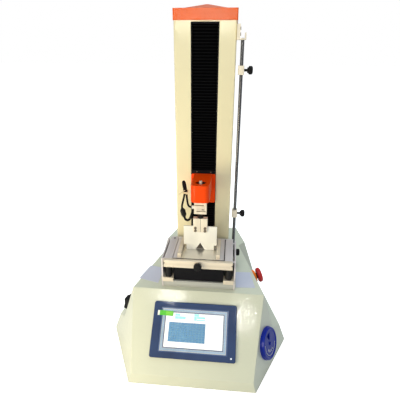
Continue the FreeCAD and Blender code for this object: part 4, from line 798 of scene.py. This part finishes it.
@dataclass
class OperatorPanel:
    """Picture, painted sheen of the protective film, pull tab and lamp of the touch panel, in millimetres on
    the front slope.
    """

    slope: Slope = field(default_factory=lambda: Slope(
        at(-2.0, -214.52, 97.9), Vector((1, 0, 0)), Vector((0, -0.69414, 0.71984))))
    screen_top: float = 5.2
    picture: Area = (-69, -39.2, 69, 38.8)
    picture_top: float = 0.1
    field_top: float = 0.15
    grid_top: float = 0.18
    grid_half: tuple[float, float] = (0.22, 0.2)
    chart: Area = (-60, -26.7, 27, 16.8)
    cells: tuple[int, int] = (12, 8)
    fields: tuple[Area, ...] = (
        (-47, 31.5, -35, 36.5), (-47, 24.5, -38, 30.5), (-37.5, 24.5, -21.6, 30.5), (-1, 32.5, 10, 38),
        (-1, 23, 5, 31.8), (5.6, 27.6, 25.5, 31.8), (5.6, 23, 25.5, 25.4))
    # Frames of painted sheen on the film: margin, width, height and material (0 painted shade, 1 painted glint,
    # 2 painted blue sheen).
    painted_sheen_rings: tuple[tuple[float, float, float, int], ...] = (
        (0.3, 1.6, 0.2, 0), (2.1, 0.7, 0.3, 1), (3.0, 4.2, 0.25, 2), (7.4, 0.9, 0.3, 1), (8.5, 2.6, 0.2, 0))
    tab_tiles: tuple[tuple[Area, float, float], ...] = (
        ((-85, 30.5, -52, 42), 0.9, 1.1), ((-90, 30.5, -85.2, 42), 0.9, 1.1),
        ((-70, 32.5, -53.5, 40), 1.1, 1.15))
    tab_lean: float = -1.5
    lamp_place: Point = (89.7, -54.2, 0)
    lamp_radius: float = 1.9
    lamp_sides: int = 16
    lamp_rise: tuple[float, float] = (5.0, 6.35)

    def tile(self, build: bmesh.types.BMesh, area: Area, low: float, high: float, index: int,
             lean: float = 0.0) -> None:
        """Adds a thin tile in panel millimetres.

        Args:
            build: The mesh under construction.
            area: Low and high corner along and up the panel.
            low: Under face above the screen.
            high: Top face above the screen.
            index: Material of the tile.
            lean: Turn in degrees within the panel.
        """
        x0, y0, x1, y1 = (v * MM for v in area)
        middle = Vector(((x0 + x1) / 2, (y0 + y1) / 2, 0))
        place = (self.slope.matrix() @ Matrix.Translation(middle)
                 @ Matrix.Rotation(math.radians(lean), 4, "Z"))
        w, h = (x1 - x0) / 2, (y1 - y0) / 2
        Shop.slab(build, [(-w, -h), (w, -h), (w, h), (-w, h)], (self.screen_top + low) * MM,
                  (self.screen_top + high) * MM, place, index)

    def ring(self, build: bmesh.types.BMesh, margin: float, width: float, high: float, index: int) -> None:
        """Adds a mitred frame of painted sheen round the picture.

        Args:
            build: The mesh under construction.
            margin: Gap between the picture and the frame's inner edge.
            width: Width of the frame.
            high: Its height above the screen.
            index: Material of the frame.
        """
        x0, y0, x1, y1 = self.picture
        inner, outer = ([(x0 - reach, y0 - reach), (x1 + reach, y0 - reach), (x1 + reach, y1 + reach),
                         (x0 - reach, y1 + reach)] for reach in (margin, margin + width))
        for k in range(4):
            after = (k + 1) % 4
            Shop.slab(build, scaled((outer[k], outer[after], inner[after], inner[k])), self.screen_top * MM,
                      (self.screen_top + high) * MM, self.slope.matrix(), index)

    def lit_picture(self, paints: Paintbox) -> None:
        """Makes the lit picture with its chart and fields.

        Args:
            paints: All finishes.
        """
        build = bmesh.new()
        self.tile(build, self.picture, 0.0, self.picture_top, 0)
        self.tile(build, self.chart, self.picture_top, self.field_top, 1)
        x0, y0, x1, y1 = self.chart
        across, up = self.grid_half
        columns, rows = self.cells
        for k in range(1, columns):
            x = x0 + (x1 - x0) * k / columns
            self.tile(build, (x - across, y0, x + across, y1), self.field_top, self.grid_top, 2)
        for k in range(1, rows):
            y = y0 + (y1 - y0) * k / rows
            self.tile(build, (x0, y - up, x1, y + up), self.field_top, self.grid_top, 2)
        for area in self.fields:
            self.tile(build, area, self.picture_top, self.field_top, 3)
        screen = Shop.finish("panel_picture", build, [
            paints.light("screen_white", linear(250, 252, 255), 0.12),
            paints.light("screen_chart", linear(96, 148, 196)),
            paints.light("screen_grid", linear(150, 196, 216)),
            paints.light("screen_cyan", linear(164, 240, 244), 0.05)], "frame")

    def build(self, paints: Paintbox) -> None:
        """Makes the lit picture, the painted sheen of the film, its pull tab and the status lamp.

        Args:
            paints: All finishes.
        """
        self.lit_picture(paints)
        build = bmesh.new()
        for ring in self.painted_sheen_rings:
            self.ring(build, *ring)
        # Painted reflections of the protective film: painted shade, painted glint and painted blue sheen.
        Shop.finish("film_sheen", build, [
            paints.film("film_shade", linear(78, 104, 158)), paints.film("film_glint", linear(240, 247, 255)),
            paints.film("film_painted_blue_sheen", linear(170, 198, 236))], "frame")
        build = bmesh.new()
        for index, (area, low, high) in enumerate(self.tab_tiles):
            self.tile(build, area, low, high, index, self.tab_lean)
        Shop.finish("film_pull_tab", build, [
            paints.light("tab_green", linear(76, 190, 40)), paints.light("tab_white", linear(244, 246, 240)),
            paints.light("tab_light_green", linear(120, 206, 60))], "frame")
        build = bmesh.new()
        place = self.slope.matrix() @ Matrix.Translation(at(*self.lamp_place))
        turns = [2 * math.pi * k / self.lamp_sides for k in range(self.lamp_sides)]
        corners = scaled((self.lamp_radius * math.cos(a), self.lamp_radius * math.sin(a)) for a in turns)
        Shop.slab(build, corners, *(v * MM for v in self.lamp_rise), place)
        Shop.finish("panel_lamp", build, [paints.light("lamp_white", linear(226, 234, 248), 0.3)], "frame")


@dataclass
class CellLead:
    """Lead of the load cell, its loop and the second lead from its plug, both carried by the crosshead."""

    diameter: float = 5.0 * MM
    feed: float = 6.0 * MM
    loop: tuple[Point, ...] = (
        (-21.2, -82, 361), (-28, -82, 361), (-32, -78.5, 367.5), (-35, -70, 381), (-37.5, -61, 394),
        (-40, -56, 406), (-43.5, -52.5, 418), (-45.5, -65.5, 418.5), (-42.5, -69, 406), (-40, -70, 394),
        (-42, -71.5, 381), (-45, -73.5, 368), (-47.3, -75, 358.57), (-46, -75, 353))
    back: tuple[Point, ...] = (
        (-41, -75, 331.58), (-39.3, -75, 324.3), (-34.1, -75, 321.3), (-28.3, -74.5, 323), (-24.3, -72.5, 332),
        (-21, -67, 344), (-17.5, -60, 359), (-14.5, -54, 374), (-14, -50, 387))

    def line(self, name: str, points: Sequence[Point], diameter: float,
             material: bpy.types.Material) -> bpy.types.Object:
        """Draws one lead as a smooth curve.

        Args:
            name: Name of the piece.
            points: Its route in millimetres.
            diameter: Its thickness.
            material: Its finish.

        Returns:
            The curve.
        """
        data = bpy.data.curves.new(name, "CURVE")
        data.dimensions = "3D"
        data.bevel_depth = diameter / 2
        data.bevel_resolution = 4
        data.use_fill_caps = True
        data.resolution_u = 10
        spline = data.splines.new("NURBS")
        spline.points.add(len(points) - 1)
        for entry, point in zip(spline.points, scaled(points)):
            entry.co = (*point, 1)
        spline.order_u = 3
        spline.use_endpoint_u = True
        data.materials.append(material)
        item = bpy.data.objects.new(name, data)
        bpy.context.scene.collection.objects.link(item)
        LOG.info("made %s", name)
        return item

    def build(self, paints: Paintbox) -> None:
        """Lays both leads.

        Args:
            paints: All finishes.
        """
        loop = self.line("cell_lead_line", self.loop, self.diameter, paints["lead_rubber"])
        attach(loop, "crosshead")
        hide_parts("cell_lead")
        back = self.line("plug_lead_line", self.back, self.feed, paints["lead_rubber"])
        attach(back, "crosshead")
        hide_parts("plug_lead")


@dataclass
class SmallPieces:
    """Thin pieces that only the looks need: tie tail, cell plate, holder's seam, seals and dial marks."""

    tie_head: tuple[Point, Point] = ((-36, -76.6, 391.4), (-31.5, -73.4, 396.6))
    tie_place: Point = (-46, -75, 396)
    tie_lean: float = -38
    tie_half: tuple[float, float, float] = (9, 1.6, 0.5)
    cell_plate: tuple[Point, Point] = ((-9, -88.75, 353.6), (11, -88.3, 366.6))
    dark_lines: tuple[tuple[Point, Point], ...] = (
        ((3.5, -89.0, 356.5), (8.5, -88.7, 358.5)), ((0.2, -88.2, 296.4), (0.9, -87.9, 332.6)))
    seal_bars: tuple[tuple[Point, Point], ...] = (
        ((62.0, -133.8, 243.9), (64.2, -26, 245.5)), ((-62.6, -134.4, 243.9), (64.2, -132.4, 245.5)))
    dial: Slope = field(default_factory=lambda: Slope(
        at(173.473, -195.021, 59.946), Vector((0.4, 0.9, 0.1)), Vector((0.8628, -0.4191, 0.2829))))
    dial_rise: tuple[float, float] = (8.8, 9.15)
    arcs: tuple[tuple[float, float, float, float, int], ...] = (
        (26.5, 0.7, 150, 330, 30), (1.5, 2.2, 0, 360, 12),
        *((14.0, 6.0, turn, turn + 4, 1) for turn in range(200, 300, 20)))

    def tie_tail(self, paints: Paintbox) -> None:
        """Makes the cut end of the cable tie, standing off its head.

        Args:
            paints: All finishes.
        """
        build = bmesh.new()
        Shop.bar(build, *self.tie_head)
        place = Matrix.Translation(at(*self.tie_place)) @ Matrix.Rotation(math.radians(self.tie_lean), 4, "Y")
        x, y, z = (v * MM for v in self.tie_half)
        Shop.slab(build, [(-x, -y), (x, -y), (x, y), (-x, y)], -z, z, place)
        Shop.finish("tie_tail", build, [paints["beige_tie"]], "crosshead")

    def load_line(self, paints: Paintbox) -> None:
        """Makes the bare plate on the load cell and the seam of the blade holder.

        Args:
            paints: All finishes.
        """
        build = bmesh.new()
        Shop.bar(build, *self.cell_plate)
        for low, high in self.dark_lines:
            Shop.bar(build, low, high, 1)
        Shop.finish("cell_plate", build, [paints["milled_aluminium"], paints["blackened_steel"]], "crosshead")

    def seals(self, paints: Paintbox) -> None:
        """Lays the black seals in the grooves beside and before the insert.

        Args:
            paints: All finishes.
        """
        build = bmesh.new()
        for low, high in self.seal_bars:
            Shop.bar(build, low, high)
        Shop.finish("groove_seals", build, [paints["lead_rubber"]], "frame")

    def dial_marks(self, paints: Paintbox) -> None:
        """Makes the hub, arc and short ticks on the turning dial.

        Args:
            paints: All finishes.
        """
        build = bmesh.new()
        place = self.dial.matrix()
        for radius, width, start, stop, steps in self.arcs:
            for k in range(steps):
                turn = [math.radians(start + (stop - start) * (k + j) / steps) for j in (0, 1)]
                corners = [((radius + r) * math.cos(a), (radius + r) * math.sin(a))
                           for r, a in ((0, turn[0]), (width, turn[0]), (width, turn[1]), (0, turn[1]))]
                Shop.slab(build, scaled(corners), *(v * MM for v in self.dial_rise), place)
        Shop.finish("dial_marks", build, [paints["white_moulding"]], "status_dial")

    def build(self, paints: Paintbox) -> None:
        """Makes all of them.

        Args:
            paints: All finishes.
        """
        self.tie_tail(paints)
        self.load_line(paints)
        self.seals(paints)
        self.dial_marks(paints)


@dataclass
class DeckPlates:
    """Two bare thin plates on the deck beside the sample table."""

    rise: tuple[float, float] = (163.0, 163.3)
    left: tuple[tuple[float, float], ...] = ((-158, -107), (-104, -123), (-100, -53), (-141, -44))
    right: tuple[tuple[float, float], ...] = ((94, -123), (143, -120), (133, -51), (93, -53))

    def build(self, paints: Paintbox) -> None:
        """Lays the plates.

        Args:
            paints: All finishes.
        """
        for name, corners in (("deck_plate_left", self.left), ("deck_plate_right", self.right)):
            build = bmesh.new()
            Shop.slab(build, scaled(corners), *(v * MM for v in self.rise), Matrix.Identity(4))
            Shop.finish(name, build, [paints["bare_plate"]], "frame")


@dataclass(frozen=True)
class Lamp:
    """One soft lamp in metres and watts, square where no height is given."""

    name: str
    position: Point
    aim: Point
    size: float
    power: float
    colour: Colour
    shines: bool = True
    height: float = 0.0

    def hang(self) -> None:
        """Puts the lamp in the scene."""
        data = bpy.data.lights.new(self.name, "AREA")
        data.shape = "RECTANGLE"
        data.size = self.size
        data.size_y = self.height or self.size
        data.energy = self.power
        data.color = self.colour
        item = bpy.data.objects.new(self.name, data)
        position = Vector(self.position)
        item.matrix_world = (Matrix.Translation(position)
                             @ (Vector(self.aim) - position).to_track_quat("-Z", "Y").to_matrix().to_4x4())
        item.visible_glossy = self.shines
        bpy.context.scene.collection.objects.link(item)


MACHINE: Point = (0, 0, 0.35)
PANEL: Point = (0, -0.17, 0.14)
LAMPS: tuple[Lamp, ...] = (
    Lamp("lamp_near", (-0.5, -0.7, 0.3), (-0.05, -0.15, 0.25), 0.4, 4.5, (1.0, 0.87, 0.6)),
    Lamp("lamp_front", (-0.17, -2.2, 1.03), MACHINE, 0.56, 8, (1.0, 0.97, 0.8), height=0.26),
    Lamp("lamp_back", (0.3, 1.5, 1.9), MACHINE, 1.0, 24, (0.8, 0.94, 1.0), shines=False),
    Lamp("lamp_top", (0.1, -0.1, 2.3), MACHINE, 1.6, 9, (0.72, 0.93, 1.0)),
    Lamp("glint_left", (-0.36, -1.31, 1.76), PANEL, 0.08, 1.3, (1.0, 1.0, 0.98)),
    Lamp("glint_right", (0.2, -1.41, 1.7), PANEL, 0.05, 1.3, (1.0, 1.0, 0.98)))


@dataclass
class Studio:
    """Floor, lamps and the camera of the photograph, in metres."""

    focal: float = 31.79
    sensor: float = 36.0
    position: Point = (0.0695, -0.8731, 0.699)
    right: Point = (0.9958, 0.0918, 0.0063)
    down: Point = (0.04, -0.3703, -0.9281)
    ahead: Point = (-0.0828, 0.9244, -0.3724)
    floor_side: float = 40.0
    floor_tone: float = 0.82
    floor_glow: float = 0.8
    sky: tuple[float, ...] = (0.92, 0.96, 1.0, 1)
    sky_strength: float = 0.37
    mirrored_sky: tuple[float, ...] = (1.0, 0.99, 0.96, 1)
    mirrored_strength: float = 0.55

    def camera(self) -> None:
        """Sets up the camera that the photograph was fitted with."""
        data = bpy.data.cameras.new("photo_camera")
        data.lens = self.focal
        data.sensor_width = self.sensor
        data.sensor_fit = "HORIZONTAL"
        data.clip_start = 10 * MM
        item = bpy.data.objects.new("photo_camera", data)
        turn = Matrix((self.right, [-v for v in self.down], [-v for v in self.ahead])).transposed().to_4x4()
        item.matrix_world = Matrix.Translation(self.position) @ turn
        bpy.context.scene.collection.objects.link(item)
        bpy.context.scene.camera = item

    def floor(self) -> None:
        """Lays a pale floor that keeps the shadow."""
        side = self.floor_side
        mesh = bpy.data.meshes.new("studio_floor")
        corners = [(-side, -side, 0), (side, -side, 0), (side, side, 0), (-side, side, 0)]
        mesh.from_pydata(corners, [], [(0, 1, 2, 3)])
        material = bpy.data.materials.new("floor_white")
        tree = NodeTree.cleared(material)
        out = tree.add("ShaderNodeOutputMaterial")
        matte = tree.add("ShaderNodeBsdfDiffuse", Color=(*[self.floor_tone] * 3, 1))
        glow = tree.add("ShaderNodeEmission", Color=(1, 1, 1, 1), Strength=self.floor_glow)
        both = tree.add("ShaderNodeAddShader")
        ray = tree.add("ShaderNodeLightPath")
        pick = tree.add("ShaderNodeMixShader")
        tree.link((matte, 0, both, 0), (glow, 0, both, 1), (ray, "Is Camera Ray", pick, 0), (matte, 0, pick, 1),
                  (both, 0, pick, 2), (pick, 0, out, "Surface"))
        Shop.mesh_object("studio_floor", mesh, [material])

    def world(self) -> None:
        """Lights all round softly and shows white behind the machine."""
        world = bpy.data.worlds.new("studio")
        tree = NodeTree.cleared(world)
        out = tree.add("ShaderNodeOutputWorld")
        soft = tree.add("ShaderNodeBackground", Color=self.sky, Strength=self.sky_strength)
        shine = tree.add("ShaderNodeBackground", Color=self.mirrored_sky, Strength=self.mirrored_strength)
        bright = tree.add("ShaderNodeBackground", Color=(1, 1, 1, 1), Strength=1.0)
        ray = tree.add("ShaderNodeLightPath")
        seen = tree.maths("MAXIMUM")
        mirrored = tree.add("ShaderNodeMixShader")
        pick = tree.add("ShaderNodeMixShader")
        tree.link((ray, "Is Camera Ray", seen, 0), (ray, "Is Transmission Ray", seen, 1),
                  (ray, "Is Glossy Ray", mirrored, 0), (soft, 0, mirrored, 1), (shine, 0, mirrored, 2),
                  (seen, 0, pick, 0), (mirrored, 0, pick, 1), (bright, 0, pick, 2), (pick, 0, out, "Surface"))
        bpy.context.scene.world = world

    def build(self) -> None:
        """Sets the whole studio."""
        self.camera()
        self.floor()
        self.world()
        for lamp in LAMPS:
            lamp.hang()
        bpy.context.scene.view_settings.view_transform = "Standard"
        LOG.info("studio ready")


@dataclass(frozen=True)
class Fasteners:
    """A group of small screws that only the looks need, in millimetres."""

    name: str
    body: str
    spots: tuple[Point, ...]
    out: Point
    radius: float
    height: float
    finish: str

    def build(self, maker: ScrewMaker, paints: Paintbox) -> None:
        """Sets the screws on their body.

        Args:
            maker: The screw tree.
            paints: All finishes.
        """
        piece = maker.place(self.name, [at(*spot) for spot in self.spots], Vector(self.out), self.radius * MM,
                            self.height * MM, paints[self.finish])
        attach(piece, self.body)


FRONT: Point = (0, -1, 0)
UP: Point = (0, 0, 1)
FASTENERS: tuple[Fasteners, ...] = (
    Fasteners("bar_bolts", "frame", ((82.5, -144, 237), (-82.5, -144, 237)), FRONT, 1.3, 1.0,
              "blackened_steel"),
    Fasteners("end_bar_screws", "crosshead", ((-17, -3.5, 427), (19, -3.5, 427)), FRONT, 1.7, 0.9,
              "screw_steel"),
    Fasteners("load_stud_end", "crosshead", ((0, -82, 414.6),), UP, 3.6, 14, "natural_aluminium"),
    Fasteners("column_screws", "frame", ((-60.5, 1.6, 181), (60.5, 1.6, 181)), FRONT, 2.2, 0.9,
              "blackened_steel"),
    Fasteners("strip_screws", "frame", ((-74, -30, 245),), UP, 2.6, 0.4, "blackened_steel"))


def main() -> None:
    """Dresses the machine: studio, leads, finishes and the pieces of each sub-assembly."""
    logging.basicConfig(level=logging.INFO, format="%(name)s: %(message)s")
    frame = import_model()
    Studio().build()
    paints = Paintbox(ShaderParts())
    CellLead().build(paints)
    paints.paint(frame["nodes"])
    Bellows().build(paints)
    OperatorPanel().build(paints)
    SmallPieces().build(paints)
    DeckPlates().build(paints)
    maker = ScrewMaker()
    for group in FASTENERS:
        group.build(maker, paints)
    LOG.info("done")


if __name__ == "__main__":
    main()
